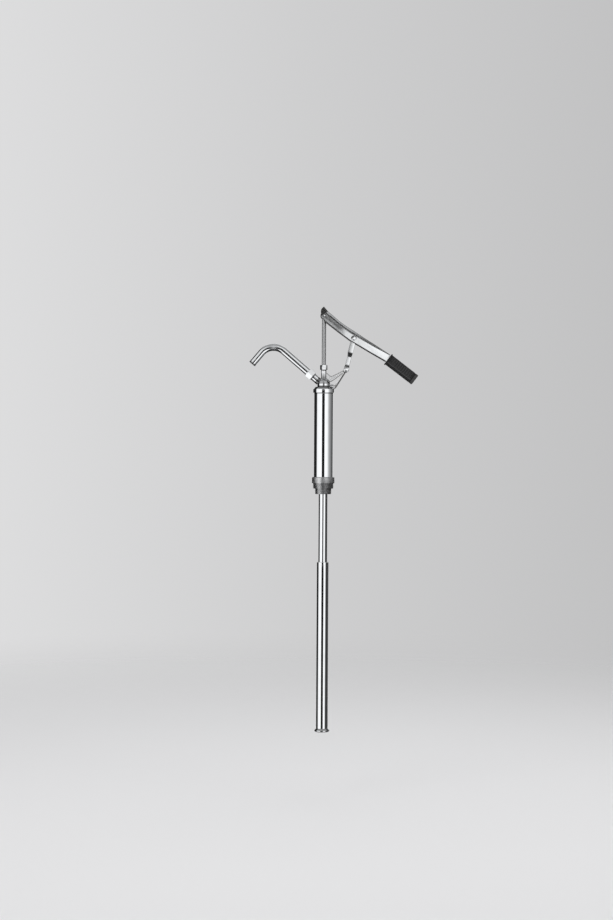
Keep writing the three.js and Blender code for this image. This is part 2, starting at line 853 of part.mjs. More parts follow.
// Closed skin through sections of equal point counts, each a list of [x, y, z]
function loft(sections) {
  const count = sections[0].length;
  const index = [];
  for (let row = 0; row < sections.length - 1; row += 1) {
    for (let point = 0; point < count; point += 1) {
      const next = (point + 1) % count;
      const a = row * count + point;
      const b = row * count + next;
      index.push(a, a + count, b, b, a + count, b + count);
    }
  }
  const ends = [[0, true], [sections.length - 1, false]];
  for (const [row, first] of ends) {
    const flat = sections[row].map(([, y, z]) => new THREE.Vector2(y, z));
    for (const [i, j, k] of THREE.ShapeUtils.triangulateShape(flat, [])) {
      const base = row * count;
      index.push(base + i, base + (first ? k : j), base + (first ? j : k));
    }
  }
  const skin = new THREE.BufferGeometry();
  skin.setAttribute("position", new THREE.Float32BufferAttribute(sections.flat(2), 3));
  skin.setIndex(index);
  return skin;
}

// Upside-down U section of the pressed lever
function channelSection(u, top, bottom, rounding, half) {
  const arcSteps = 3;
  const arch = (radius, halfWidth, crown) => {
    const points = [];
    for (const sign of [-1, 1]) {
      for (let step = 0; step <= arcSteps; step += 1) {
        const angle = ((sign < 0 ? step : arcSteps - step) * Math.PI) / (2 * arcSteps);
        const across = halfWidth - radius + radius * Math.cos(angle);
        points.push([u, sign * across, crown - radius + radius * Math.sin(angle)]);
      }
    }
    return points;
  };
  const innerRounding = Math.max(rounding - leverSheet, fit);
  const inside = arch(innerRounding, half - leverSheet, top - leverSheet).reverse();
  return [
    [u, -half, bottom],
    ...arch(rounding, half, top),
    [u, half, bottom],
    [u, half - leverSheet, bottom],
    ...inside,
    [u, leverSheet - half, bottom],
  ];
}

function leverChannel() {
  const tangEnd = leverEnd + tangLength;
  const sections = [...leverStations, [leverEnd - fit, ...leverMouth]].map(([u, top, bottom, rounding]) => (
    channelSection(u, top, bottom, rounding, leverHalfWidth)
  ));
  for (const u of [leverEnd, tangEnd]) {
    sections.push(channelSection(u, tangTop, tangBottom, tangRounding, tangHalfWidth));
  }
  const beyond = 2 * tangEnd;
  const headSide = new THREE.Shape();
  headSide.moveTo(...leverTip);
  headSide.quadraticCurveTo(-2 * leverHeadRadius, 0.68 * leverHeadRadius, -leverHeadRadius, 0);
  headSide.absarc(0, 0, leverHeadRadius, Math.PI, 1.62 * Math.PI, false);
  headSide.lineTo(...leverThroat);
  headSide.lineTo(beyond, leverThroat[1]);
  headSide.lineTo(beyond, beyond);
  headSide.lineTo(leverTip[0], beyond);
  const trimmed = common(loft(sections), plate(headSide, 4 * leverHalfWidth));
  const wide = 2 * leverHalfWidth;
  const holes = [0, leverArm].map((u) => crosswise(bar(pinHoleRadius, -wide, wide), u, 0));
  return alongLever(cut(trimmed, ...holes));
}

function rodPin() {
  return crosswise(headedPin(leverHalfWidth, rodPinHeadWidth, rodPinHeadHeight), 0, rodPinHeight);
}

function rodWasher(side) {
  const inner = rodRadius + fit;
  const washer = ring(pinHoleRadius, pinHoleRadius + washerWidth, inner, inner + washerThickness, smallSides);
  return crosswise(side > 0 ? washer : washer.rotateX(Math.PI), 0, rodPinHeight);
}

// Rivet head outside the lever, with the stub that fills the lever's hole
function leverRivet(side) {
  const stubStart = channelHalfGap + fit / 2;
  const seat = leverHalfWidth + fit;
  const rivet = turned([
    [0, stubStart],
    [pinRadius, stubStart],
    [pinRadius, seat],
    ...domedHead(pinRadius + rivetHeadWidth, seat, rivetHeadHeight),
  ], smallSides);
  return crosswise(side > 0 ? rivet : rivet.rotateX(Math.PI), ...linkPin);
}

// Rounded box section of the grip
function gripSection(u, top, bottom, half) {
  const arcSteps = 4;
  const points = [];
  const corners = [[half, top], [-half, top], [-half, bottom], [half, bottom]];
  corners.forEach(([y, z], quarter) => {
    const innerY = y - Math.sign(y) * gripCorner;
    const innerZ = z + (quarter < 2 ? -gripCorner : gripCorner);
    for (let step = 0; step <= arcSteps; step += 1) {
      const angle = ((quarter + step / arcSteps) * Math.PI) / 2;
      points.push([u, innerY + gripCorner * Math.cos(angle), innerZ + gripCorner * Math.sin(angle)]);
    }
  });
  return points.reverse();
}

function leverGrip() {
  const start = leverEnd + gripGap;
  const tangEnd = leverEnd + tangLength;
  const end = tangEnd + gripEndWall;
  const lipEnd = start + gripLipLength;
  const stations = [
    [start, gripLip],
    [lipEnd - gripLip / 2, gripLip],
    [lipEnd, 0],
    [end - 1.5 * gripEndRounding, 0],
    [end - 0.45 * gripEndRounding, -0.4 * gripEndRounding],
    [end, -gripEndRounding],
  ];
  const sections = stations.map(([u, swell]) => gripSection(
    u,
    tangTop + gripTopWall - (gripTopFall * (u - start)) / (end - start) + swell,
    tangBottom - gripBottomWall - swell,
    tangHalfWidth + gripSideWall + swell,
  ));
  const pocket = boxAt(
    [start - 1, -tangHalfWidth - gripPlay, tangBottom - gripPlay],
    [tangEnd + gripPlay, tangHalfWidth + gripPlay, tangTop + gripPlay],
  );
  return alongLever(cut(loft(sections), pocket));
}

function pistonRod() {
  const shank = turned([
    [0, rodBottom],
    [stubRadius, rodBottom],
    [stubRadius, rodShoulder],
    [rodRadius, rodShoulder],
    [rodRadius, rodPinHeight],
    [0, rodPinHeight],
  ], tubeSides);
  const eye = crosswise(bar(rodEyeRadius, -rodRadius, rodRadius, tubeSides), 0, rodPinHeight);
  const hole = crosswise(bar(pinHoleRadius, -rodEyeRadius, rodEyeRadius), 0, rodPinHeight);
  return cut(join(shank, eye), hole);
}

// Ring of ports through the piston
function ports(bottom, top) {
  const holes = [];
  for (let index = 0; index < portCount; index += 1) {
    const angle = (index * 2 * Math.PI) / portCount;
    const port = bar(portRadius, bottom, top, smallSides);
    holes.push(port.translate(portCircle * Math.cos(angle), portCircle * Math.sin(angle), 0));
  }
  return holes;
}

function pistonBody() {
  const body = ring(stubHole, pistonRadius, bodyBottom, bodyTop);
  return cut(body, ...ports(bodyBottom - 1, bodyTop + 1));
}

function pistonCup() {
  const lipInner = pistonRadius + fit;
  return turned([
    [spigotRadius + fit, cupBottom],
    [insertRadius, cupBottom],
    [insertRadius, cupBottom + cupSkirtHeight],
    [lipInner, cupBottom + cupSkirtHeight],
    [lipInner, cupTop],
    [spigotRadius + fit, cupTop],
  ]);
}

function pistonFollower() {
  const body = turned([
    [stubHole, followerBottom],
    [pistonRadius, followerBottom],
    [pistonRadius, followerShoulder],
    [spigotRadius, followerShoulder],
    [spigotRadius, cupTop],
    [stubHole, cupTop],
  ]);
  return cut(body, ...ports(followerBottom - 1, cupTop + 1));
}

function pistonNut() {
  const acrossFlats = 2 * (stubHole + pistonNutWall);
  const bore = bar(stubHole, pistonNutBottom - 1, pistonNutTop + 1);
  return cut(hexBar(acrossFlats, pistonNutBottom, pistonNutTop), bore);
}

function footValve() {
  const footRadius = outerTubeRadius + footRimWidth;
  const body = turned([
    [footBoreRadius, footBottom],
    [footRadius - footChamfer, footBottom],
    [footRadius, footBottom + footChamfer],
    [footRadius, footBottom + footRimHeight],
    [outerTubeRadius + fit, footTop],
    [footSpigotRadius, footTop],
    [footSpigotRadius, footSpigotTop],
    [footChamberRadius, footSpigotTop],
    [footChamberRadius, footSeat],
    [footBoreRadius, footSeat],
  ]);
  return cut(body, crosswise(bar(crossPinRadius + fit, -footRadius, footRadius), 0, crossPinHeight));
}

function footValveBall() {
  return new THREE.SphereGeometry(ballRadius, 16, 10).rotateX(Math.PI / 2).translate(0, 0, ballHeight);
}

function footCrossPin() {
  return crosswise(bar(crossPinRadius, -footSpigotRadius, footSpigotRadius), 0, crossPinHeight);
}

// Adapter, barrel and inlet valve
const inletDiscBottom = seatTop + fit;
const inletDiscTop = inletDiscBottom + valveDiscThickness;
piece("bung_adapter", bungAdapter(), zinc);
piece("suction_tube_inner", suctionTubeInner(), chrome);
piece("barrel_base", barrelBase(), brass);
piece("inlet_valve_disc", bar(inletDiscRadius, inletDiscBottom, inletDiscTop, roundSides), rubber);
piece("inlet_valve_cage", inletCage(), brass);
piece("barrel_tube", ring(barrelBore, barrelRadius, plateBottom, barrelTop), chrome);

// Head, gland and fulcrum bracket
const gasketBottom = barrelTop + fit;
piece("head_gasket", ring(gasketInner, barrelRadius, gasketBottom, gasketBottom + gasketThickness), rubber);
piece("head_cap", headCap(), chrome);
piece("rod_guide_bush", rodGuideBush(), brass);
piece("gland_packing", glandPacking(), rubber);
piece("gland_nut", glandNut(), chrome);
piece("fulcrum_bracket", fulcrumBracket(), chrome);
piece("bracket_screw", bracketScrew(), chrome);

// Spout
piece("outlet_nipple", outletNipple(), chrome);
piece("spout_seal", spoutSeal(), rubber);
piece("spout_union_nut", spoutUnionNut(), chrome);
piece("spout_tube", spoutTube(), chrome);

// Rod and piston
const stopWasherRadius = stubHole + stopWasherWidth;
const pistonDiscRadius = pistonRadius - pistonDiscMargin;
const pistonDiscTop = pistonDiscBottom + valveDiscThickness;
piece("piston_rod", pistonRod(), steel);
piece("rod_pin", rodPin(), steel);
piece("rod_washer_front", rodWasher(-1), steel);
piece("rod_washer_rear", rodWasher(1), steel);
piece("valve_stop_washer", ring(stubHole, stopWasherRadius, stopWasherBottom, stopWasherTop, tubeSides), steel);
piece("valve_sleeve", ring(stubHole, sleeveRadius, pistonDiscBottom, sleeveTop, tubeSides), brass);
piece("piston_valve_disc", ring(sleeveRadius + fit, pistonDiscRadius, pistonDiscBottom, pistonDiscTop), rubber);
piece("piston_body", pistonBody(), brass);
piece("piston_cup", pistonCup(), rubber);
piece("piston_follower", pistonFollower(), brass);
piece("piston_nut", pistonNut(), steel);

// Lever and link
piece("lever_channel", leverChannel(), steel);
piece("lever_grip", leverGrip(), plastic);
piece("lever_rivet_front", leverRivet(-1), steel);
piece("lever_rivet_rear", leverRivet(1), steel);
piece("link_plate_front", linkPlate(-1), steel);
piece("link_plate_rear", linkPlate(1), steel);
piece("link_spacer", linkSpacer(), steel);
piece("link_pin", linkPinBar(), steel);
piece("fulcrum_pin", fulcrumPin(), steel);

// Telescopic tube and foot valve
const collarInner = innerTubeRadius + slideFit;
const collarOuter = outerTubeBore - fit;
const slideSealBottom = slideSealTop - slideSealHeight;
const guideRingTop = guideRingBottom + guideRingHeight;
const sealInner = innerTubeRadius + fit;
const outerTube = ring(outerTubeBore, outerTubeRadius, outerTubeBottom, outerTubeTop, tubeSides);
piece("suction_tube_outer", outerTube, chrome);
piece("slide_collar", ring(collarInner, collarOuter, slideCollarBottom, slideCollarTop, tubeSides), nylon);
piece("slide_seal", ring(sealInner, collarOuter, slideSealBottom, slideSealTop, tubeSides), rubber);
piece("tube_guide_ring", ring(sealInner, collarOuter, guideRingBottom, guideRingTop, tubeSides), nylon);
piece("foot_valve_body", footValve(), zinc);
piece("foot_valve_ball", footValveBall(), steel);
piece("foot_cross_pin", footCrossPin(), steel);

export default pump;
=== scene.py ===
# Lever-action drum pump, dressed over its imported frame
import json
from math import atan, copysign, cos, dist, hypot, pi, radians, sin, sqrt, tan
import bmesh
import bpy
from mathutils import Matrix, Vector


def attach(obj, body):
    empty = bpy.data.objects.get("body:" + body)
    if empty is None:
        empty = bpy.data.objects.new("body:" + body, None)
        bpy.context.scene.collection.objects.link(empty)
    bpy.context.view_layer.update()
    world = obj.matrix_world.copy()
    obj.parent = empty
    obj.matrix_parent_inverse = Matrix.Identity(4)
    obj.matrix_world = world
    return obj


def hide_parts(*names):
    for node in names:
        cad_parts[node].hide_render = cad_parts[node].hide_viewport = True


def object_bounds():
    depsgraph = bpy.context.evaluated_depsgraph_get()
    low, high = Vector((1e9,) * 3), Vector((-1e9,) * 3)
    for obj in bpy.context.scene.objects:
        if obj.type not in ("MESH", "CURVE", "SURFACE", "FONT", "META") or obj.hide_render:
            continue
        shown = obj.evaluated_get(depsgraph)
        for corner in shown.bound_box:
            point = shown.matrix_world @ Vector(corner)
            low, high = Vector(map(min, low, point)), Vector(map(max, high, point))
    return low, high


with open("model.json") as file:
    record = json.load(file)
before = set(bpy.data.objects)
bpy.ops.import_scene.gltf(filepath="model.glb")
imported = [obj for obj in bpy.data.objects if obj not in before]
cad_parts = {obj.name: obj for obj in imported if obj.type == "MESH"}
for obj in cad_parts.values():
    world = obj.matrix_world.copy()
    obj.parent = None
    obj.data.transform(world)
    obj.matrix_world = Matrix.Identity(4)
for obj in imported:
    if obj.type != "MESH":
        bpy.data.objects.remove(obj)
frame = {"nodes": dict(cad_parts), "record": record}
cadLow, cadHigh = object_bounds()
scene = bpy.context.scene
mm = 0.001
bodyOf = {node: body for body, group in frame["record"]["behaviour"]["bodies"].items() for node in group}
slotOf = {part["node"]: part["material_slot"] for part in frame["record"]["subparts"]}
print("frame loaded:", len(frame["nodes"]), "nodes")


# Shader maths is written as plain sums on this
class Wire:
    def __init__(self, paint, socket):
        self.paint, self.socket = paint, socket

    def work(self, operation, *values):
        return self.paint.node("Math", {"operation": operation}, dict(enumerate(values)))

    def __add__(self, other):
        return self.work("ADD", self, other)

    def __radd__(self, other):
        return self.work("ADD", other, self)

    def __sub__(self, other):
        return self.work("SUBTRACT", self, other)

    def __rsub__(self, other):
        return self.work("SUBTRACT", other, self)

    def __mul__(self, other):
        return self.work("MULTIPLY", self, other)

    def __rmul__(self, other):
        return self.work("MULTIPLY", other, self)

    def __pow__(self, other):
        return self.work("POWER", self, other)

    def __rpow__(self, other):
        return self.work("POWER", other, self)


# A material and its nodes
class Paint:
    def __init__(self, name, holder=None):
        self.holder = holder or bpy.data.materials.new(name)
        self.holder.use_nodes = True
        self.tree = self.holder.node_tree
        self.tree.nodes.clear()

    def node(self, kind, settings=None, values=None, output=0):
        made = self.tree.nodes.new("ShaderNode" + kind)
        for key, value in (settings or {}).items():
            if key == "stops":
                ramp = made.color_ramp
                while len(ramp.elements) < len(value):
                    ramp.elements.new(0.5)
                for stop, (place, shade) in zip(ramp.elements, value):
                    stop.position = place
                    stop.color = (shade, shade, shade, 1)
            else:
                setattr(made, key, value)
        for key, value in (values or {}).items():
            socket = made.inputs[key]
            if isinstance(value, Wire):
                self.tree.links.new(value.socket, socket)
            else:
                socket.default_value = (*value, 1) if socket.type == "RGBA" else value
        return Wire(self, made.outputs[output]) if made.outputs else None

    def spot(self, kind="Object"):
        return self.node("TexCoord", output=kind)

    def place(self, stretch=(1, 1, 1)):
        return self.node("Mapping", None, {"Vector": self.spot(), "Scale": stretch})

    def grain(self, scale, detail=4, stretch=(1, 1, 1), rough=0.55):
        return self.node("TexNoise", None, {
            "Vector": self.place(stretch), "Scale": scale, "Detail": detail, "Roughness": rough})

    # A share kept at the mesh's points, 0 on a piece that has none
    def mark(self, name):
        return self.node("Attribute", {"attribute_name": name}, None, "Fac")

    def edges(self):
        return self.node("NewGeometry", output="Pointiness")

    def ramp(self, value, *stops):
        return self.node("ValToRGB", {"stops": stops}, {"Fac": value})

    def rise(self, value, start, end):
        return self.ramp(value, (start, 0.0), (end, 1.0))

    def blend(self, share, first, second):
        return self.node("Mix", {"data_type": "RGBA"}, {0: share, 6: first, 7: second}, 2)

    def bump(self, height, strength, distance, **under):
        return self.node("Bump", None, {
            "Height": height, "Strength": strength, "Distance": distance, **under})

    def highest(self, first, second):
        return first.work("MAXIMUM", first, second)

    # 0 at the start value, 1 at the end value, eased between
    def fade(self, value, start, end):
        return self.node("MapRange", {"interpolation_type": "SMOOTHSTEP"}, {
            "Value": value, "From Min": start, "From Max": end})

    def along(self, origin, heading):
        offset = self.node("VectorMath", {"operation": "SUBTRACT"}, {0: self.spot(), 1: origin})
        return self.node("VectorMath", {"operation": "DOT_PRODUCT"}, {0: offset, 1: heading}, "Value")

    def surface(self, **values):
        sockets = {key.replace("_", " "): value for key, value in values.items()}
        return self.finished(self.node("BsdfPrincipled", None, sockets))

    def finished(self, shader, kind="OutputMaterial"):
        self.node(kind, None, {"Surface": shader})
        return self.holder


chromeLook = {
    "colour": (0.83, 0.845, 0.86), "smudge": (0.72, 0.735, 0.755), "shadeColour": (0.045, 0.044, 0.042),
    "roughness": 0.03, "smear": 0.06, "wave": 0.03, "lines": 0.03, "metal": 1.0,
    "shadeStrength": 0.92, "shadeHaze": 0.14, "wearHaze": 0.34, "cloud": (28, 6, (1, 1, 1), 0.62),
    "cloudSpan": (0.48, 0.72), "cloudShade": 0.5, "specks": (1500, 2), "speckSpan": (0.68, 0.76),
    "speckShade": 0.25, "speckHaze": 0.6, "marks": (900, 2), "drawnMarks": (1, 1, 0.03), "markHeight": 0.0001,
    "peel": (60, 2), "drawnPeel": (1, 1, 0.25), "peelHeight": 0.002,
}


# Bright plating: faint orange peel, handling smears and a little haze; painted shade, from a mark kept at the
# points and from a stain mask made on the paint, darkens it
def plating(name, drawn=False, stain=None, **changes):
    look = {**chromeLook, **changes}
    paint = Paint(name)
    smear = paint.rise(paint.grain(*look["cloud"]), *look["cloudSpan"])
    lines = paint.grain(*look["marks"], look["drawnMarks"] if drawn else (1, 1, 1))
    specks = paint.rise(paint.grain(*look["specks"]), *look["speckSpan"])
    haze = look["roughness"] + (smear + specks * look["speckHaze"]) * look["smear"] + lines * look["lines"]
    peel = paint.grain(*look["peel"], look["drawnPeel"] if drawn else (1, 1, 1))
    shade = smear * look["cloudShade"] + specks * look["speckShade"]
    colour = paint.blend(shade, look["colour"], look["smudge"])
    # Painted shade: blends the plating towards a dark colour where it is marked
    shadeAmount = paint.mark("crease") * look["shadeStrength"]
    if stain:
        shadeAmount = paint.highest(shadeAmount, stain(paint))
    relief = paint.bump(lines, look["lines"], look["markHeight"])
    relief = paint.bump(peel, look["wave"], look["peelHeight"], Normal=relief)
    return paint.surface(
        Base_Color=paint.blend(shadeAmount, colour, look["shadeColour"]), Metallic=look["metal"], Normal=relief,
        Roughness=haze + shadeAmount * look["shadeHaze"] + paint.mark("wear") * look["wearHaze"])


pivotShadeSizes = {  # spans run from where the painted shade ends to where it is full, and end with its strength
    "pivot": (0.0, 0.0, 0.483693), "angle": radians(-37.14), "wander": 0.02,
    "haze": (0.205, 0.120, 0.20), "shadeBand": (0.092, 0.050, 0.24), "streak": (0.074, 0.050, 0.42),
    "streakWidth": 0.0068, "ridge": (0.0115, 0.0085), "pins": (0.0, 0.108), "pinSpans": (0.0048, 0.0066),
    "pinRing": 0.0100, "pinLee": (0.006, -0.002), "nose": (-0.001, -0.006), "noseLean": 0.35, "noseShare": 0.95,
    "rim": (0.0078, 0.0094), "rimAcross": (0.012, 0.004), "rimUp": (0.008, 0.002), "rimShare": 0.9,
    "spots": (230, 5, (1, 1, 1), 0.68), "spotSpan": (0.36, 0.62), "edgeGrain": (90, 3),
    # the least share, and what the spots or the lee add to it
    "shadeShares": (0.85, 0.15), "streakShares": (0.55, 0.45), "pinShares": (0.3, 0.62),
}


# Painted shade darkens the head, its nose and rim and a ring round each pin, in patches, and thins out along the
# flanges
def pivotShade(paint, size=pivotShadeSizes):
    turn = size["angle"]
    u = paint.along(size["pivot"], (cos(turn), 0, sin(turn)))
    v = paint.along(size["pivot"], (-sin(turn), 0, cos(turn)))
    spread = paint.rise(paint.grain(*size["spots"]), *size["spotSpan"])
    edge = u + (paint.grain(*size["edgeGrain"]) - 0.5) * size["wander"]
    # Here haze is painted shade fading along the flanges, not roughness
    far, near, haze = size["haze"]
    mask = paint.fade(edge, far, near) * haze
    far, near, shadeBand = size["shadeBand"]
    least, added = size["shadeShares"]
    mask = mask + paint.fade(edge, far, near) * shadeBand * (least + spread * added)
    far, near, streak = size["streak"]
    least, added = size["streakShares"]
    off = paint.fade(v.work("ABSOLUTE", v), size["streakWidth"], 0.0)
    mask = mask + off * paint.fade(u, far, near) * (least + spread * added) * streak
    mask = mask * paint.fade(v, *size["ridge"])
    # Painted shade ringing each pin, darker on its lee side
    least, added = size["pinShares"]
    for reach, inner in zip(size["pins"], size["pinSpans"]):
        ring = paint.fade(((u - reach) ** 2 + v ** 2) ** 0.5, size["pinRing"], inner)
        mask = paint.highest(mask, ring * (least + paint.fade(u - v - reach, *size["pinLee"]) * added))
    rim = paint.fade((u ** 2 + v ** 2) ** 0.5, *size["rim"])
    rim = rim * paint.fade(u, *size["rimAcross"]) * paint.fade(v, *size["rimUp"]) * size["rimShare"]
    nose = paint.fade(u - v * size["noseLean"], *size["nose"]) * size["noseShare"]
    return paint.highest(mask, paint.highest(nose, rim))


rodLook = {
    "colour": (0.42, 0.425, 0.43), "mark": (0.36, 0.365, 0.37), "roughness": 0.32, "haze": 0.03,
    "rings": (2600, 3, (0.02, 0.02, 1)), "ringShade": 0.1, "wear": (45, 5), "wearShade": 0.15,
    "relief": (0.01, 0.00004),
}


# Ground steel: fine rings round the rod
def groundSteel(name, look=rodLook):
    paint = Paint(name)
    rings = paint.grain(*look["rings"])
    wear = paint.grain(*look["wear"])
    shade = wear * look["wearShade"] + rings * look["ringShade"]
    return paint.surface(
        Base_Color=paint.blend(shade, look["colour"], look["mark"]), Metallic=1.0,
        Roughness=look["roughness"] + rings * look["haze"] + wear * look["haze"],
        Normal=paint.bump(rings, *look["relief"]))


zincLook = {
    "pale": (0.50, 0.505, 0.51), "dark": (0.25, 0.255, 0.26), "pit": (0.07, 0.07, 0.07),
    "rubbed": (0.68, 0.685, 0.69), "roughness": 0.32, "metal": 0.9, "sideShade": 0.52, "sideShadeAcross": (-0.004, 0.012),
    "sideShadeDown": (0.016, -0.004), "sideShadeWander": 0.03, "mottle": (75, 6, (1, 1, 1), 0.65), "mottleSpan": (0.33, 0.66),
    "mottleHaze": 0.14, "pits": 420.0, "pitStops": ((0.05, 1.0), (0.16, 0.0)), "pitShade": 0.4, "shadeStrength": 0.85,
    "wornSpan": (0.505, 0.56), "wornShade": 0.5, "wornGloss": 0.12, "sand": (900, 3),
    "sandHeight": 0.5, "mottleHeight": 0.8, "pitDepth": 0.7, "relief": (0.3, 0.0003),
}


# Raw die casting: mottled, slightly pitted, rubbed bright on its edges; painted shade darkens its right and lower
# part and its marked places, and its wear mark is a painted highlight
def castZinc(name, look=zincLook):
    paint = Paint(name)
    mottle = paint.grain(*look["mottle"])
    pits = paint.node("TexVoronoi", None, {"Vector": paint.place(), "Scale": look["pits"]})
    pits = paint.ramp(pits, *look["pitStops"])
    worn = paint.rise(paint.edges(), *look["wornSpan"])
    colour = paint.blend(paint.rise(mottle, *look["mottleSpan"]), look["dark"], look["pale"])
    pitsAndShade = paint.highest(pits * look["pitShade"], paint.mark("crease") * look["shadeStrength"])
    # The pit colour also serves as the painted shade at marked places
    colour = paint.blend(pitsAndShade, colour, look["pit"])
    # Painted shade: darker towards +X and lower down, blended to the pit colour
    across = paint.along((0, 0, 0), (1, 0, 0)) + (mottle - 0.5) * look["sideShadeWander"]
    shadedSide = paint.fade(across, *look["sideShadeAcross"])
    shadedSide = shadedSide * paint.fade(paint.along((0, 0, 0), (0, 0, 1)), *look["sideShadeDown"])
    colour = paint.blend(shadedSide * look["sideShade"], colour, look["pit"])
    # Lighter at worn edges and at the wear mark, which is a painted highlight
    colour = paint.blend(paint.highest(worn * look["wornShade"], paint.mark("wear")), colour, look["rubbed"])
    height = paint.grain(*look["sand"]) * look["sandHeight"]
    height = height + mottle * look["mottleHeight"] - pits * look["pitDepth"]
    return paint.surface(
        Base_Color=colour, Metallic=look["metal"], Normal=paint.bump(height, *look["relief"]),
        Roughness=look["roughness"] + mottle * look["mottleHaze"] - worn * look["wornGloss"])


gripLook = {
    "colour": (0.011, 0.011, 0.0115), "dust": (0.035, 0.035, 0.035), "worn": (0.075, 0.075, 0.076),
    "roughness": 0.55, "gloss": 0.3, "grain": 1400.0, "relief": (0.22, 0.0002), "rubbedSpan": (0.50, 0.57),
    "rubbedShade": 0.3, "rubbedGloss": 0.14, "dustGrain": (34, 5), "dustSpan": (0.42, 0.75), "dustShade": 0.35,
    "dustHaze": 0.12,
}


# Moulded plastic: leathery grain, dusty hollows and a hand-rubbed sheen; its wear mark lightens it, partly as a
# painted highlight
def mouldedPlastic(name, look=gripLook):
    paint = Paint(name)
    grain = paint.node("TexVoronoi", {"feature": "SMOOTH_F1"}, {
        "Vector": paint.place(), "Scale": look["grain"]})
    rubbed = paint.rise(paint.edges(), *look["rubbedSpan"])
    dust = paint.rise(paint.grain(*look["dustGrain"]), *look["dustSpan"])
    shade = dust * look["dustShade"] + rubbed * look["rubbedShade"]
    colour = paint.blend(shade, look["colour"], look["dust"])
    return paint.surface(
        Base_Color=paint.blend(paint.mark("wear"), colour, look["worn"]), Specular_IOR_Level=look["gloss"],
        Roughness=look["roughness"] + dust * look["dustHaze"] - rubbed * look["rubbedGloss"],
        Normal=paint.bump(grain, *look["relief"]))


rubberLook = {
    "colour": (0.022, 0.022, 0.022), "stain": (0.075, 0.075, 0.073), "cloud": (120, 5), "span": (0.4, 0.8),
    "roughness": 0.62, "haze": 0.25, "metal": 0.0, "marks": (1800, 2), "relief": (0.2, 0.0001),
}
brassLook = {
    "colour": (0.70, 0.52, 0.24), "stain": (0.42, 0.28, 0.12), "cloud": (110, 6), "span": (0.45, 0.8),
    "roughness": 0.22, "haze": 0.25, "metal": 1.0, "marks": (3000, 2, (0.02, 0.02, 1)),
    "relief": (0.15, 0.0001),
}
nylonLook = {
    "colour": (0.76, 0.74, 0.67), "stain": (0.58, 0.54, 0.44), "cloud": (150, 5), "span": (0.45, 0.85),
    "roughness": 0.38, "haze": 0.2, "metal": 0.0, "marks": (700, 3), "relief": (0.12, 0.0002),
}


# Stock clouded by stains, which are duller, with the fine marks of its making: turned rings on the brass
def clouded(name, look):
    paint = Paint(name)
    cloud = paint.grain(*look["cloud"])
    return paint.surface(
        Base_Color=paint.blend(paint.rise(cloud, *look["span"]), look["colour"], look["stain"]),
        Metallic=look["metal"], Roughness=look["roughness"] + cloud * look["haze"],
        Normal=paint.bump(paint.grain(*look["marks"]), *look["relief"]))


finishes = {
    "adapter_zinc": castZinc("adapterZinc"),
    "barrel_chrome": plating("barrelPlating", drawn=True, roughness=0.02, smear=0.015, wave=0.010, lines=0.010),
    "tube_chrome": plating("tubePlating", drawn=True, smear=0.03, wave=0.014, lines=0.014),
    "head_chrome": plating("headPlating", wave=0.02, lines=0.01),
    "rod_steel": groundSteel("rodSteel"),
    "lever_steel": plating("leverPlating", stain=pivotShade, wave=0.015, lines=0.01),
    "pin_steel": plating("pinPlating", wave=0.01, lines=0.01, roughness=0.05),
    "grip_plastic": mouldedPlastic("gripPlastic"),
    "seal_rubber": clouded("nitrileRubber", rubberLook),
    "valve_brass": clouded("turnedBrass", brassLook),
    "guide_nylon": clouded("guideNylon", nylonLook),
    "foot_zinc": plating("footZinc", colour=(0.70, 0.71, 0.72), smudge=(0.5, 0.51, 0.52), roughness=0.12),
    "ball_steel": plating("ballSteel", wave=0.0, roughness=0.06),
}
castPlating = plating(
    "castPlating", colour=(0.82, 0.825, 0.83), smudge=(0.72, 0.73, 0.74), roughness=0.36, wave=0.10, metal=0.6)
for node, piece in frame["nodes"].items():
    piece.data.materials.clear()
    piece.data.materials.append(finishes[slotOf[node]])
print("finishes made:", len(finishes))


# Corners of a closed outline become short arcs; a corner may carry its own radius as a third number
def eased(corners, radius=0.5, steps=5):
    result = []
    for index, corner in enumerate(corners):
        here = Vector(corner[:2])
        size = corner[2] if len(corner) > 2 else radius
        before = Vector(corners[index - 1][:2]) - here
        after = Vector(corners[(index + 1) % len(corners)][:2]) - here
        turn = pi - before.angle(after, pi)
        if size <= 0 or turn < 0.02:
            result.append(here)
            continue
        reach = min(size * tan(turn / 2), 0.48 * before.length, 0.48 * after.length)
        start, end = here + before.normalized() * reach, here + after.normalized() * reach
        weight = cos(turn / 2)
        for step in range(steps + 1):
            share = step / steps
            parts = (1 - share) ** 2, 2 * share * (1 - share) * weight, share ** 2
            result.append((start * parts[0] + here * parts[1] + end * parts[2]) / sum(parts))
    return result


# Ring of points round a centre, square to a heading, with angle 0 towards the viewer's side
def ringAt(centre, heading, radii, angles):
    heading = Vector(heading).normalized()
    side = Vector((0, -1, 0)) if abs(heading.y) < 0.9 else Vector((0, 0, 1))
    side = (side - heading * side.dot(heading)).normalized()
    other = heading.cross(side)
    if isinstance(radii, (int, float)):
        radii = [radii] * len(angles)
    return [
        Vector(centre) + side * (radius * cos(angle)) + other * (radius * sin(angle))
        for radius, angle in zip(radii, angles)
    ]


def evenAngles(count):
    return [2 * pi * step / count for step in range(count)]


# Joins rings of equal counts into one skin; a closed skin runs back to its first ring
def skin(rings, closed=True, capped=False):
    count, points, faces = len(rings[0]), [], []
    for ring in rings:
        points += ring
    rows = len(rings) if closed else len(rings) - 1
    for row in range(rows):
        here, there = row * count, ((row + 1) % len(rings)) * count
        for step in range(count):
            after = (step + 1) % count
            faces.append((here + step, here + after, there + after, there + step))
    if capped:
        faces += [tuple(range(count)), tuple(len(points) - count + step for step in range(count))]
    return points, faces


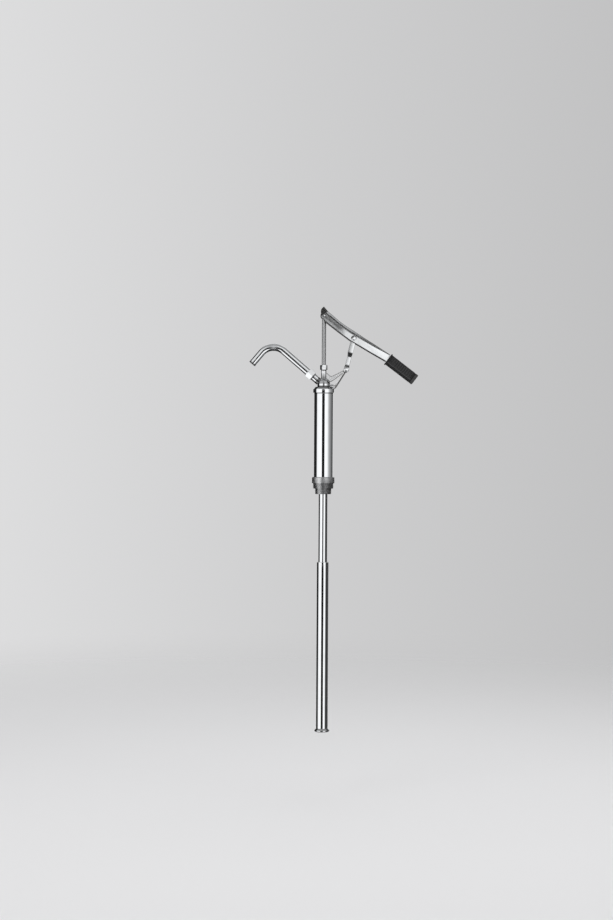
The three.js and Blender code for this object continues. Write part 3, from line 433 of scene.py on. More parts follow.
# Object with a clean mesh, from points in mm
def block(shape, name="block"):
    mesh = bpy.data.meshes.new(name)
    mesh.from_pydata([point * mm for point in shape[0]], [], shape[1])
    work = bmesh.new()
    work.from_mesh(mesh)
    bmesh.ops.remove_doubles(work, verts=work.verts, dist=2e-6)
    bmesh.ops.recalc_face_normals(work, faces=work.faces)
    work.to_mesh(mesh)
    work.free()
    made = bpy.data.objects.new(name, mesh)
    scene.collection.objects.link(made)
    return made


# Makes a mesh the shown piece of a node, smooth but for its sharp folds
def dressed(piece, node, sharp=38, bevel=0, weighted=True, finish=None):
    piece.name = node + "_shown"
    mesh = piece.data
    mesh.polygons.foreach_set("use_smooth", [True] * len(mesh.polygons))
    if bevel:
        edge = piece.modifiers.new("edges", "BEVEL")
        edge.width = bevel * mm
        edge.segments = 2
        edge.limit_method = "ANGLE"
        edge.angle_limit = radians(sharp)
    else:
        mesh.set_sharp_from_angle(angle=radians(sharp))
    if weighted:
        facing = piece.modifiers.new("facing", "WEIGHTED_NORMAL")
        facing.keep_sharp = True
        facing.weight = 80
    mesh.materials.clear()
    mesh.materials.append(finish or finishes[slotOf[node]])
    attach(piece, bodyOf[node])
    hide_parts(node)
    return piece


def shown(node, shape, sharp=38, finish=None):
    return dressed(block(shape, node + "_shown"), node, sharp, finish=finish)


# Stores a share worked out at each point in mm as a mesh attribute: painted shade by default, or the wear mark,
# which on some pieces is a painted highlight
def markPoints(piece, shareAt, kind="crease"):
    marks = [shareAt(vertex.co / mm) for vertex in piece.data.vertices]
    piece.data.attributes.new(kind, "FLOAT", "POINT").data.foreach_set("value", marks)


# 0 outside a span, 1 inside, with soft ends
def within(value, low, high, soft):
    return max(0.0, min(1.0, (value - low) / soft + 0.5, (high - value) / soft + 0.5))


# Share of a mark from its values: strength, where it starts and ends, and how softly
def band(value, strength, low, high, soft):
    return strength * within(value, low, high, soft)


# Turns a piece's modifiers into its mesh
def applied(made):
    bpy.context.view_layer.update()
    result = bpy.data.meshes.new_from_object(made.evaluated_get(bpy.context.evaluated_depsgraph_get()))
    made.modifiers.clear()
    made.data = result
    return made


# Joins, cuts or trims a block with others, which are used up
def carved(made, operation, *tools):
    for tool in tools:
        step = made.modifiers.new("carve", "BOOLEAN")
        step.operation = operation
        step.solver = "EXACT"
        step.object = tool
        applied(made)
        bpy.data.objects.remove(tool)
    return made


# Gives a carved block the even, soft-edged skin of a casting
def castSoft(made, grid, rounds):
    remesh = made.modifiers.new("skin", "REMESH")
    remesh.mode = "VOXEL"
    remesh.voxel_size = grid * mm
    soften = made.modifiers.new("soften", "SMOOTH")
    soften.factor = 0.5
    soften.iterations = rounds
    return applied(made)


# Outline in XZ, or in a tilted frame, pushed out to both sides of the lever's plane
def slab(outline, half, place=Vector):
    sides = [[place((along, y, up)) for along, up in outline] for y in (-half, half)]
    return skin(sides, closed=False, capped=True)


# Tilted frame in the lever's plane, from its own points to rest and back
class Tilt:
    def __init__(self, origin, angle):
        self.x, self.z = origin
        self.cos, self.sin = cos(angle), sin(angle)

    def place(self, point):
        u, y, v = point
        return Vector((self.x + u * self.cos - v * self.sin, y, self.z + u * self.sin + v * self.cos))

    def back(self, point):
        x, z = point.x - self.x, point.z - self.z
        return x * self.cos + z * self.sin, z * self.cos - x * self.sin


# Turned shape about an axis through an origin; the profile is a closed list of radius and height
def turned(profile, sides=96, origin=(0, 0, 0), axis=(0, 0, 1), angles=None, radiusAt=None):
    angles = angles or evenAngles(sides)
    heading = Vector(axis).normalized()
    rings = []
    for radius, along in profile:
        radii = [radiusAt(angle, along, radius) for angle in angles] if radiusAt else max(radius, 0)
        rings.append(ringAt(Vector(origin) + heading * along, heading, radii, angles))
    return skin(rings)


# Angles and radii of a hexagon with softened corners
def hexAngles(half, softness):
    side = atan((1 - softness / half) * tan(pi / 6))
    angles = []
    for flat in range(6):
        middle = flat * pi / 3
        angles += [middle + side * step for step in (-1, -0.5, 0, 0.5, 1)]
        rest = pi / 3 - 2 * side
        angles += [middle + side + rest * step / 6 for step in range(1, 6)]
    return angles


def hexRadius(half, softness):
    centre = (half - softness) / cos(pi / 6)
    limit = (half - softness) * tan(pi / 6)

    def radiusAt(angle, along, radius):
        turn = (angle + pi / 6) % (pi / 3) - pi / 6
        if abs(half * tan(turn)) <= limit + 1e-6:
            across = half / cos(turn)
        else:
            off = pi / 6 - abs(turn)
            across = centre * cos(off) + sqrt(max(softness ** 2 - (centre * sin(off)) ** 2, 0))
        return min(radius, across)
    return radiusAt


adapter = {
    "threads": [(29.8, -15.5, 0.0), (23.9, -31.5, -15.5)],  # crest radius, bottom, top
    "depth": 1.4, "pitch": 2.31, "taper": (0.55, 3.0), "runOut": (1.6, 2.2), "flange": 32.6, "height": 17.7,
    "chamfer": 1.6, "bore": 13.35, "flareBore": 15.0, "flareFloor": 1.4, "socket": 28.1, "socketFloor": 4.3,
}


# Bung adapter with two real helical threads
def bungAdapter(threads, depth, pitch, taper, runOut, flange, height, chamfer, bore, flareBore, flareFloor,
                socket, socketFloor):
    outer = []
    for crest, bottom, top in reversed(threads):
        count = round((top - bottom) / (pitch / 10))
        outer += [(crest, bottom + (top - bottom) * index / count) for index in range(count)]
        outer.append((crest, top))

    def radiusAt(angle, along, radius):
        for crest, bottom, top in threads:
            if radius == crest and bottom <= along <= top:
                turn = (along / pitch - angle / (2 * pi)) % 1
                wave = min(1.0, max(0.0, 1.9 * abs(2 * turn - 1) - 0.35))
                fade = min(1.0, (along - bottom) / runOut[0] + 0.45, max((top - along) / runOut[1], 0.0))
                thinned = taper[0] * max(0.0, 1 - (along - bottom) / taper[1])
                return crest - thinned - depth * (1 - wave) * fade
        return radius
    rest = eased([
        (flange, 0.0, 0.4), (flange, height - chamfer, 0.8), (flange - chamfer, height, 0.6),
        (socket, height, 0.5), (socket, socketFloor, 0.2), (flareBore, socketFloor, 0.2),
        (flareBore, flareFloor, 0.2), (bore, flareFloor, 0.2), (bore, threads[1][1], 0.4)], steps=4)
    return turned([tuple(point) for point in [*outer, *rest]], sides=180, radiusAt=radiusAt)


# Painted shade darkens both sides; a painted highlight lightens a patch left of the middle
adapterShading = {"sides": (0.7, 0.86, 1.2, 0.12), "rubbed": (0.8, -17, -6, 5.0)}
adapterPiece = shown("bung_adapter", bungAdapter(**adapter), sharp=50)
markPoints(adapterPiece, lambda point: band(abs(point.x) / max(point.xy.length, 1.0), *adapterShading["sides"]))
markPoints(adapterPiece, lambda point: band(point.x, *adapterShading["rubbed"]) if point.y < 0 else 0.0, "wear")

barrel = {
    "inner": 25.75, "outer": 27.75, "bottom": 4.6, "top": 267.0, "edge": 0.7, "rows": (21, 256.6, 258.6, 260.6),
}


# Wall of a tube; rows are heights outside where its marks start and end
def tubeWall(inner, outer, bottom, top, edge=0.5, rows=()):
    outside = [(outer, row, 0) for row in rows]
    return eased([(inner, bottom), (outer, bottom), *outside, (outer, top), (inner, top)], edge)


barrelRimShadow = (0.7, 257.6, 270, 2.0)  # painted shadow under the head's rim
markPoints(shown("barrel_tube", turned(tubeWall(**barrel), 144)), lambda point: band(point.z, *barrelRimShadow))

head = {
    "skirt": 31.0, "bottom": 260.5, "bevelStart": 271.0, "top": 277.7, "topRadius": 25.0,
    "dome": 18.6, "wallTop": 287.7, "wallRows": (3.2, 4.4, 7.6), "neckBase": 302.7, "neck": 7.75,
    "neckTop": 333.2, "neckRows": (10.4, 9.0, 6.6), "neckFillet": 3.0, "socket": 28.1, "seat": 268.6,
    "gasket": 24.25, "chamberTop": 272.5, "domeBore": 12.0, "bush": 7.9, "bushTop": 300.8, "rodBore": 6.3,
}


# Arch of the dome, with a gap all round
def domeArch(size, gap=0):
    rise = size["neckBase"] - size["wallTop"] + gap
    angles = [radians(8 * step) for step in range(1, 9)]
    return [((size["dome"] + gap) * cos(a), size["wallTop"] + rise * sin(a), 0) for a in angles]


# Cap with its bevelled rim, dome and long neck
def headCap(skirt, bottom, bevelStart, top, topRadius, dome, wallTop, wallRows, neckBase, neck, neckTop, neckRows,
            neckFillet, socket, seat, gasket, chamberTop, domeBore, bush, bushTop, rodBore):
    return turned(eased([
        (skirt, bottom, 0.8), (skirt, bevelStart, 1.4), (topRadius, top, 1.4), (dome, top, 1.0),
        *[(dome, top + row, 0) for row in wallRows], (dome, wallTop, 0), *domeArch(head),
        (neck, neckBase, neckFillet), *[(neck, neckTop - row, 0) for row in neckRows], (neck, neckTop, 0.4),
        (rodBore, neckTop, 0.2), (rodBore, bushTop, 0.1), (bush, bushTop, 0.1), (bush, wallTop, 0.1),
        (domeBore, wallTop, 0.4), (domeBore, chamberTop, 0.4), (gasket, chamberTop, 0.4), (gasket, seat, 0.2),
        (socket, seat, 0.2), (socket, bottom, 0.5)]), 144)


headShadeMarks = {
    "reach": 25.5, "ledge": (0.97, 276.7, 281.5, 1.0), "ring": (0.72, 286.9, 290.6, 1.6),
    "haze": (0.22, 290.6, 302, 1.6), "frontShade": (0.85, 281, 289, 1.0), "frontShadeAcross": (1.0, -1.9, 1.9, 1.6),
    "side": (0.85, 285.8, 299, 2.0), "sideAcross": (1.0, 9.0, 30, 3.5), "neckFrom": 301.5,
    "neckFoot": (0.85, 300.5, 305.2, 2.0), "underNut": (0.8, 323.6, 327.4, 1.2),
}


# Painted shade on the ledge, round and over the dome, down its front and on its right side, at the neck's foot
# and under the gland nut
def headShade(point):
    x, z, marks = point.x, point.z, headShadeMarks
    if point.xy.length > marks["reach"]:
        return 0.0
    if z > marks["neckFrom"]:
        return max(band(z, *marks["neckFoot"]), band(z, *marks["underNut"]))
    frontShade = band(z, *marks["frontShade"]) * band(x, *marks["frontShadeAcross"]) if point.y < 0 else 0.0
    side = band(z, *marks["side"]) * band(x, *marks["sideAcross"])
    return max(band(z, *marks["ledge"]), band(z, *marks["ring"]) + band(z, *marks["haze"]), frontShade, side)


markPoints(shown("head_cap", headCap(**head), sharp=50), headShade)

glandNut = {
    "half": 9.5, "bottom": 326.6, "top": 341.6, "crown": 8.9, "bore": 8.05, "roof": 338.6, "throat": 6.3,
    "softness": 0.5,
}


# Hexagon nut with a turned crown on both ends
def hexNut(half, bottom, top, crown, bore, roof, throat, softness, origin=(0, 0, 0), axis=(0, 0, 1), turn=0.0):
    corner = half / cos(pi / 6) + 0.02
    slope = (corner - crown) * 0.62
    crowned = [(crown + (corner - crown) * step / 8, slope * step / 8) for step in range(9)]
    profile = [(bore, bottom + 0.3), (bore + 0.3, bottom), (crown - 0.15, bottom)]
    profile += [(radius, bottom + rise) for radius, rise in crowned]
    profile += [(radius, top - rise) for radius, rise in reversed(crowned)]
    profile += [(crown - 0.15, top), (throat + 0.3, top), (throat, top - 0.3), (throat, roof), (bore, roof)]
    edge = hexRadius(half, softness)
    return turned(profile, origin=origin, axis=axis, angles=[angle + turn for angle in hexAngles(half, softness)],
                  radiusAt=lambda angle, along, radius: edge(angle - turn, along, radius))


shown("gland_nut", hexNut(**glandNut), sharp=24)

rise, droop = radians(40.7), radians(49.8)
spout = {
    "root": (0, 0, 281.1), "up": (-cos(rise), 0, sin(rise)), "radius": 10.65, "bore": 9.15,
    "bendReach": 198.4, "bendRadius": 45.0, "endReach": 88.3, "flange": 11.8, "flangeStart": 53.33,
    "flangeEnd": 55.93,
}
nipple = {
    "bore": 6.0, "spigot": 8.7, "start": 21.83, "collarStart": 17.6, "collar": 10.75, "collarEnd": 41.03,
    "rows": (25.6, 27.2, 37.6, 39.2), "thread": 11.8, "threadEnd": 51.03,
}
unionNut = {
    "half": 13.5, "bottom": 41.33, "top": 61.33, "crown": 13.0, "bore": 12.1, "roof": 56.2, "throat": 10.95,
    "softness": 0.7, "turn": pi / 6,
}


# Path of the bent tube, as points with headings
def spoutPath(size, bendSteps=36):
    root, up = Vector(size["root"]), Vector(size["up"])

    def heading(angle):
        return Vector((-cos(angle), 0, sin(angle)))
    corner = root + up * size["bendReach"]
    trim = size["bendRadius"] * tan((rise + droop) / 2)
    centre = corner - up * trim + heading(rise - pi / 2) * size["bendRadius"]
    straight = size["bendReach"] - trim - size["flangeEnd"]
    stops = [(root + up * (size["flangeEnd"] + straight * step / 9), up) for step in range(9)]
    for step in range(bendSteps + 1):
        angle = rise - (rise + droop) * step / bendSteps
        stops.append((centre + heading(angle + pi / 2) * size["bendRadius"], heading(angle)))
    down = heading(-droop)
    mouth = corner + down * size["endReach"]
    bendEnd = stops[-1][0]
    reach = (mouth - bendEnd).length
    return stops + [(bendEnd.lerp(mouth, share), down)
                    for share in (0.25, 0.5, 0.75, 1 - 5.0 / reach, 1 - 4.0 / reach, 1)]


def spoutTube(size, stops):
    angles = evenAngles(72)
    root, up = Vector(size["root"]), Vector(size["up"])
    radius, bore, flange = size["radius"], size["bore"], size["flange"]
    start, end = size["flangeStart"], size["flangeEnd"]
    rings = [ringAt(root + up * along, up, reach, angles) for reach, along in eased([
        (bore, start, 0.3), (flange, start, 0.4), (flange, end, 0.4), (radius, end, 0.6), (radius, end + 2, 0),
    ], steps=4)[1:]]
    rings += [ringAt(centre, heading, radius, angles) for centre, heading in stops[1:-1]]
    mouth, down = stops[-1]
    wall = radius - bore
    for turn in [pi * step / 8 for step in range(9)]:
        reach = radius - wall / 2 + wall / 2 * cos(turn)
        rings.append(ringAt(mouth - down * (0.5 - 0.5 * sin(turn)), down, reach, angles))
    rings += [ringAt(centre, heading, bore, angles) for centre, heading in reversed(stops[1:-1])]
    return skin([*rings, ringAt(root + up * (start + 0.3), up, bore, angles)])


def outletNipple(bore, spigot, start, collarStart, collar, collarEnd, rows, thread, threadEnd):
    return eased([
        (bore, start, 0.2), (spigot, start, 0.2), (spigot, collarStart, 0.1), (collar, collarStart, 0.1),
        *[(collar, row, 0) for row in rows], (collar, collarEnd, 0.3), (thread, collarEnd, 0.5),
        (thread, threadEnd, 0.5), (bore, threadEnd, 0.3)])


spoutMarks = {
    "crown": (1.0, -20, 13.0, 6.0), "mouth": (0.97, -9, 4.4, 1.0),
    "collar": [(0.9, 10, 26.4, 1.4), (0.92, 38.4, 45, 1.4)],
}


# Painted shade: dark rings where the collar meets the dome and the nut
def collarShade(point):
    along = (point - Vector(spout["root"])).dot(Vector(spout["up"]))
    return max(band(along, *mark) for mark in spoutMarks["collar"])


spoutStops = spoutPath(spout)
spoutMouth, spoutDown = spoutStops[-1]
spoutCrown = spoutStops[25][0]  # top of the bend, rubbed by the hand
spoutPiece = shown(
    "spout_tube", spoutTube(spout, spoutStops), 50, plating("spoutPlating", wave=0.012, lines=0.01))
markPoints(spoutPiece, lambda point: band((point - spoutCrown).length, *spoutMarks["crown"]), "wear")
# Painted shade round the spout's mouth
markPoints(spoutPiece, lambda point: band((spoutMouth - point).dot(spoutDown), *spoutMarks["mouth"]))
markPoints(shown("outlet_nipple", turned(outletNipple(**nipple), 96, spout["root"], spout["up"])), collarShade)
shown("spout_union_nut", hexNut(**unionNut, origin=spout["root"], axis=spout["up"]), sharp=24)
print("barrel, head and spout made")

bracket = {
    "half": 4.0, "fulcrum": (64.5, 327.0), "eye": 7.4, "pinHole": 3.8, "grid": 0.5, "softening": 4,
    "arm": [(3.9, 292.7), (21.0, 292.7), (27.5, 296.7, 8), (64.5, 324.0), (64.5, 330.0), (27.5, 311.1, 12),
            (21.0, 308.3, 12), (9.25, 318.1, 3), (3.9, 318.5)],
    "foot": [(9.3, 271.0), (31.0, 271.0), (35.6, 276.0, 2), (31.6, 283.7, 1.5), (28.8, 282.7, 3), (9.3, 282.7)],
    "brace": (33.6, 277.7), "braceWidth": 6.2, "screwHole": [(0, 262), (2.8, 262), (2.8, 290), (0, 290)],
}
screw = {"x": 23.6, "radius": 2.5, "head": 4.2, "bottom": 273.0, "seat": 283.0, "top": 286.6, "slot": 0.5}


def circle(centre, radius, count=64):
    x, z = centre
    return [(x + radius * cos(angle), z + radius * sin(angle)) for angle in evenAngles(count)]


# Outer shape of the head with a small gap all round, for fitting the bracket to it
def headCutter(size, gap):
    skirt, dome, neck = size["skirt"] + gap, size["dome"] + gap, size["neck"] + gap
    return turned([
        (0, size["bottom"] - 5), (skirt, size["bottom"] - 5), (skirt, size["bevelStart"] + gap / 2),
        (size["topRadius"] + gap / 2, size["top"] + gap), (dome, size["top"] + gap), (dome, size["wallTop"]),
        *[point[:2] for point in domeArch(size, gap)], (neck, size["neckBase"] + gap),
        (neck, size["neckTop"] + 5), (0, size["neckTop"] + 5)], 96)


def fulcrumBracket(size, outlines):
    made = carved(block(slab(eased(size["arm"], 0), size["half"])), "UNION",
                  *[block(slab(outline, size["half"])) for outline in outlines])
    return carved(
        made, "DIFFERENCE", block(slab(circle(size["fulcrum"], size["pinHole"]), 12)),
        block(turned(size["screwHole"], 32, (screw["x"], 0, 0))), block(headCutter(head, 0.3)))


# How far a place lies inside an outline; negative outside it
def depthIn(outline, x, z):
    inside, nearest = False, 1e9
    for (startX, startZ), (endX, endZ) in zip(outline, [*outline[1:], outline[0]]):
        edgeX, edgeZ = endX - startX, endZ - startZ
        if (startZ > z) != (endZ > z) and x < edgeX * (z - startZ) / edgeZ + startX:
            inside = not inside
        share = ((x - startX) * edgeX + (z - startZ) * edgeZ) / max(edgeX ** 2 + edgeZ ** 2, 1e-9)
        share = max(0.0, min(1.0, share))
        nearest = min(nearest, hypot(x - startX - share * edgeX, z - startZ - share * edgeZ))
    return nearest if inside else -nearest


braceStart, braceEnd = Vector(bracket["brace"]), Vector(bracket["fulcrum"])
braceHeading = (braceEnd - braceStart).normalized()
braceSide = Vector((-braceHeading.y, braceHeading.x)) * bracket["braceWidth"] / 2
braceOutline = [braceStart - braceSide, braceEnd - braceSide, braceEnd + braceSide, braceStart + braceSide]
bracketOutlines = [eased(bracket["foot"], 0.8), braceOutline, circle(bracket["fulcrum"], bracket["eye"], 48)]
flatOutlines = [[tuple(corner) for corner in outline] for outline in (
    eased(bracket["arm"], 0, 3), eased(bracket["foot"], 0.8, 3), braceOutline)]

bracketShadeMarks = {
    "sides": 0.8, "sideDepth": 0.6, "edges": (0.9, -3, 1.6, 0.9), "eye": (0.9, 7.0, 9.6, 0.8),
    "lee": (0.97, -0.8, 9, 0.7), "leeFrom": -8, "bright": (1.0, -3.5, -0.8, 0.6), "brightFrom": 8, "upTo": 50,
}


# Painted shade darkens the sides, a line along every edge, the lee of the brace and a ring round the eye; a strip
# along the brace's lit side is left bright, and only the faces stay pale
def bracketShade(point):
    marks = bracketShadeMarks
    if abs(point.y) < bracket["half"] - marks["sideDepth"]:
        return marks["sides"]
    place = Vector((point.x, point.z))
    fromEye = (place - braceEnd).length
    depth = max([bracket["eye"] - fromEye] + [depthIn(outline, *place) for outline in flatOutlines])
    lee = (place - braceStart).dot(Vector((braceHeading.y, -braceHeading.x)))
    along = (place - braceStart).dot(braceHeading)
    shadow = band(lee, *marks["lee"]) if marks["leeFrom"] < along < marks["upTo"] else 0.0
    bright = band(lee, *marks["bright"]) if marks["brightFrom"] < along < marks["upTo"] else 0.0
    return max(band(depth, *marks["edges"]) * (1 - bright), shadow, band(fromEye, *marks["eye"]))


bracketPiece = castSoft(fulcrumBracket(bracket, bracketOutlines), bracket["grid"], bracket["softening"])
markPoints(bracketPiece, bracketShade)
dressed(bracketPiece, "fulcrum_bracket", sharp=80, weighted=False, finish=castPlating)


# Screw with a domed head and its slot
def bracketScrew(x, radius, head, bottom, seat, top, slot):
    shank = block(turned(eased([
        (0, bottom, 0), (radius, bottom, 0.5), (radius, seat, 0.1), (head, seat, 0.3), (head, seat + 1.9, 0.5),
        (head * 0.72, top - 0.3, 1.6), (0, top, 0)]), 64, (x, 0, 0)))
    cut = [(x - slot, top - 1.3), (x + slot, top - 1.3), (x + slot, top + 1), (x - slot, top + 1)]
    return carved(shank, "DIFFERENCE", block(slab(cut, 9)))


dressed(bracketScrew(**screw), "bracket_screw", sharp=30)

lever = {
    "pivot": (0, 483.693), "angle": radians(-37.14), "half": 10.0, "sheet": 2.0,
    "stations": [
        (-20, 21.8, -13, 12.4), (0, 17.6, -12.9, 10.8), (13, 16.9, -12.8, 11.4), (25, 16.4, -13, 10.8),
        (45, 15.2, -13.2, 10.0), (68, 15.8, -13.3, 10.4), (91, 17.9, -12.9, 11.4), (104, 18.7, -12.6, 10.4),
        (137, 20.6, -8.5, 8.7), (170, 23.6, -4.7, 7.2), (221.1, 27, 2, 2.6),
    ],  # place along, top, bottom, and how far the ridge and its groove reach down
    "tang": (221.4, 296.0, 22.5, 3.5, 2.0, 8.0), "pinHole": 3.8, "hem": 2.9, "groove": (0.60, 0.94),
    "tip": (-16, 20.9), "headRadius": 10.6, "throat": (13, -14),
}
leverTilt = Tilt(lever["pivot"], lever["angle"])


# Smooth values between stations
def between(stations, u):
    index = max(0, min(len(stations) - 2, sum(1 for station in stations if station[0] <= u) - 1))
    picks = [stations[max(0, min(len(stations) - 1, index + step))] for step in (-1, 0, 1, 2)]
    share = (u - picks[1][0]) / (picks[2][0] - picks[1][0])
    values = []
    for item in range(1, len(picks[0])):
        slopes = []
        for low, middle, high in ((picks[0], picks[1], picks[2]), (picks[1], picks[2], picks[3])):
            span = high[0] - low[0]
            slopes.append((high[item] - low[item]) / span if span else 0)
        span = picks[2][0] - picks[1][0]
        a, b = picks[1][item], picks[2][item]
        values.append(
            a * (1 + 2 * share) * (1 - share) ** 2 + slopes[0] * span * share * (1 - share) ** 2
            + b * share ** 2 * (3 - 2 * share) + slopes[1] * span * share ** 2 * (share - 1))
    return values


# Upside-down U section: flat flanges, a groove, a rounded ridge on top, and rounded hems below
def channelRing(u, top, bottom, drop, half, sheet, hem=0.0, steps=10):
    ridge = half - 0.14 * drop
    right = []
    for step in range(steps + 1):
        angle = pi / 2 * (1 - step / steps)
        right.append((ridge * cos(angle) ** 0.85, top - drop / 2 + drop / 2 * sin(angle)))
    right += [
        (ridge, top - 0.56 * drop), (ridge, top - 0.62 * drop), (ridge, top - 0.70 * drop),
        (ridge, top - 0.76 * drop), (ridge + 0.05, top - 0.81 * drop), (ridge + 0.2, top - 0.85 * drop),
        (ridge + 0.5, top - 0.88 * drop), (half - 0.6, top - 0.905 * drop), (half - 0.35, top - 0.93 * drop),
        (half - 0.12, top - 0.97 * drop), (half, top - 1.03 * drop), (half, top - 1.2 * drop),
    ]
    fold = hem or sheet / 2
    right += [
        (half - sheet + sheet * cos(angle), bottom + fold - fold * sin(angle))
        for angle in [pi / 2 * step / steps for step in range(steps + 1)]]
    radius, width, crown = max(0.2, min(0.6 * drop, 6.4)), half - sheet, top - sheet
    right += [
        (width - radius + radius * cos(angle), crown - radius + radius * sin(angle))
        for angle in [pi / 2 * step / steps for step in range(steps + 1)]]
    return [leverTilt.place((u, y, v)) for y, v in right + [(-y, v) for y, v in reversed(right[1:])]]


def leverChannel(size):
    stations = size["stations"]
    places = [stations[0][0] + (stations[-1][0] - stations[0][0]) * step / 120 for step in range(121)]
    rings = [channelRing(u, *between(stations, u), size["half"], size["sheet"], size["hem"]) for u in places]
    start, end, top, bottom, drop, half = size["tang"]
    rings += [channelRing(u, top, bottom, drop, half, size["sheet"]) for u in (start, end)]
    return block(skin(rings, closed=False, capped=True))


leverShadeMarks = {
    "ridge": 0.3, "farRidge": (0.5, 120, 400, 40), "ridgeSpan": (-5, 3.0, 1.0), "hem": (0.95, -2, 2.6, 0.8),
}


# Painted shade in the groove under the ridge, over the ridge, more so towards the grip, and on the hem
def leverShade(point):
    u, v = leverTilt.back(point)
    if u > lever["stations"][-1][0]:
        return 0.0
    top, bottom, drop = between(lever["stations"], u)
    low, high = lever["groove"]
    outer = abs(point.y) > lever["half"] - 0.16 * drop
    groove = within(top - v, low * drop, high * drop, 0.06 * drop) if outer else 0.0
    start, least, soft = leverShadeMarks["ridgeSpan"]
    ridge = leverShadeMarks["ridge"] + band(u, *leverShadeMarks["farRidge"])
    ridge = ridge * within(top - v, start, max(low * drop, least), soft)
    return max(groove, ridge, band(v - bottom, *leverShadeMarks["hem"]))


# Side view of the lever's head, with the rest left whole
def headOutline(size):
    radius, tip, throat = size["headRadius"], size["tip"], size["throat"]
    bend = (-2 * radius, 0.68 * radius)
    points = []
    for share in [step / 12 for step in range(13)]:
        parts = (1 - share) ** 2, 2 * share * (1 - share), share ** 2
        points.append((
            tip[0] * parts[0] + bend[0] * parts[1] - radius * parts[2], tip[1] * parts[0] + bend[1] * parts[1]))
    for angle in [pi + (0.62 * pi) * step / 16 for step in range(1, 17)]:
        points.append((radius * cos(angle), radius * sin(angle)))
    return [*points, throat, (700, throat[1]), (700, 700), (tip[0], 700)]


leverPiece = carved(leverChannel(lever), "INTERSECT", block(slab(headOutline(lever), 30, leverTilt.place)))
leverPiece = carved(
    leverPiece, "DIFFERENCE", block(slab(circle((0, 0), lever["pinHole"], 40), 30, leverTilt.place)))
markPoints(leverPiece, leverShade)
dressed(leverPiece, "lever_channel", sharp=50, bevel=0.35)

grip = {
    "start": 222.5, "end": 321.3, "top": 28.9, "fall": 0.8, "bottom": -4.0, "half": 14.0, "corner": 7.0,
    "lip": 2.2, "lipLength": 4.0, "endRounding": 1.8, "ribStart": 234.0, "ribEnd": 304.0, "ribs": 10,
    "ribDepth": 0.8, "line": (0.3, 0.9, 1.0), "endLine": (311.6, 1.0, 1.0),  # grooves: place, half width, depth
    "pocket": [(217.5, 3.1), (296.4, 3.1), (296.4, 22.9), (217.5, 22.9)], "pocketHalf": 8.4,
}


def gripRing(size, u, swell, ribs, ring, line, steps=14):
    top = size["top"] - size["fall"] * ((u - size["start"]) / (size["end"] - size["start"]))
    bottom, corner = size["bottom"], size["corner"]
    middle = (top + bottom) / 2
    half = size["half"] + swell - ring
    top, bottom = top + swell - ring, bottom - swell + ring
    section = []
    for quarter, (y, v) in enumerate(((half, top), (-half, top), (-half, bottom), (half, bottom))):
        middleY = y - copysign(corner, y)
        middleV = v + (-corner if quarter < 2 else corner)
        for step in range(steps + 1):
            angle = (quarter + step / steps) * pi / 2
            section.append((middleY + corner * cos(angle), middleV + corner * sin(angle)))
    result = []
    place, width, depth = size["line"]
    for here, after in zip(section, [*section[1:], section[0]]):
        count = 10 if dist(here, after) > 4 else 1
        for step in range(count):
            y = here[0] + (after[0] - here[0]) * step / count
            v = here[1] + (after[1] - here[1]) * step / count
            side = min(1.0, max(0.0, (abs(y) - 0.72 * half) / (0.12 * half)))
            flat = min(1.0, max(0.0, (0.78 * (top - bottom) / 2 - abs(v - middle)) / 1.6))
            inset = ribs * side * flat + line * depth * side * max(0.0, 1 - ((v - place) / width) ** 2)
            result.append(leverTilt.place((u, y - copysign(inset, y), v)))
    return result


def leverGrip(size, count=280):
    start, end, ribStart = size["start"], size["end"], size["ribStart"]
    linePlace, lineWidth, lineDepth = size["endLine"]
    pitch = (size["ribEnd"] - ribStart) / size["ribs"]
    rings = []
    for u in [start + (end - start) * step / count for step in range(count + 1)]:
        swell, ribs = 0.0, 0.0
        if u - start < size["lipLength"]:
            share = (u - start) / size["lipLength"]
            swell = size["lip"] * min(1.0, 2.2 * sqrt(max(0.0, share * (1 - share))))
        if end - u < size["endRounding"] * 1.5:
            share = 1 - (end - u) / (size["endRounding"] * 1.5)
            swell = -size["endRounding"] * (1 - sqrt(max(0.0, 1 - share ** 2)))
        if ribStart <= u <= size["ribEnd"]:
            wave = cos(2 * pi * (u - ribStart) / pitch)
            ribs = size["ribDepth"] * min(1.0, 0.75 - 0.75 * wave)
        ring = lineDepth * max(0.0, 1 - ((u - linePlace) / lineWidth) ** 2)
        rings.append(gripRing(size, u, swell, ribs, ring, within(u, ribStart - 6, linePlace, 2.0)))
    return block(skin(rings, closed=False, capped=True))


gripMarks = {
    "ribs": (0.32, 7.5, 24.5, 2.0), "low": (0.5, 2.6, 6.4, 1.2), "lowAlong": (1.0, 226, 310, 2.0),
    "end": (0.55, 313.2, 325, 1.2),
}


# Handling rubs the far end and the crests of the ribs paler; a band along the low edge is a painted highlight
def gripWearAndHighlight(point):
    u, v = leverTilt.back(point)
    start, end = grip["ribStart"], grip["ribEnd"]
    crest = 0.5 + 0.5 * cos(2 * pi * (u - start) / (end - start) * grip["ribs"])
    ribs = crest * within(u, start, end, 1.0) * band(v, *gripMarks["ribs"])
    low = band(v, *gripMarks["low"]) * band(u, *gripMarks["lowAlong"])
    return max(ribs, low, band(u, *gripMarks["end"]))


gripPiece = carved(
    leverGrip(grip), "DIFFERENCE", block(slab(grip["pocket"], grip["pocketHalf"], leverTilt.place)))
markPoints(gripPiece, gripWearAndHighlight, "wear")
dressed(gripPiece, "lever_grip", sharp=40)

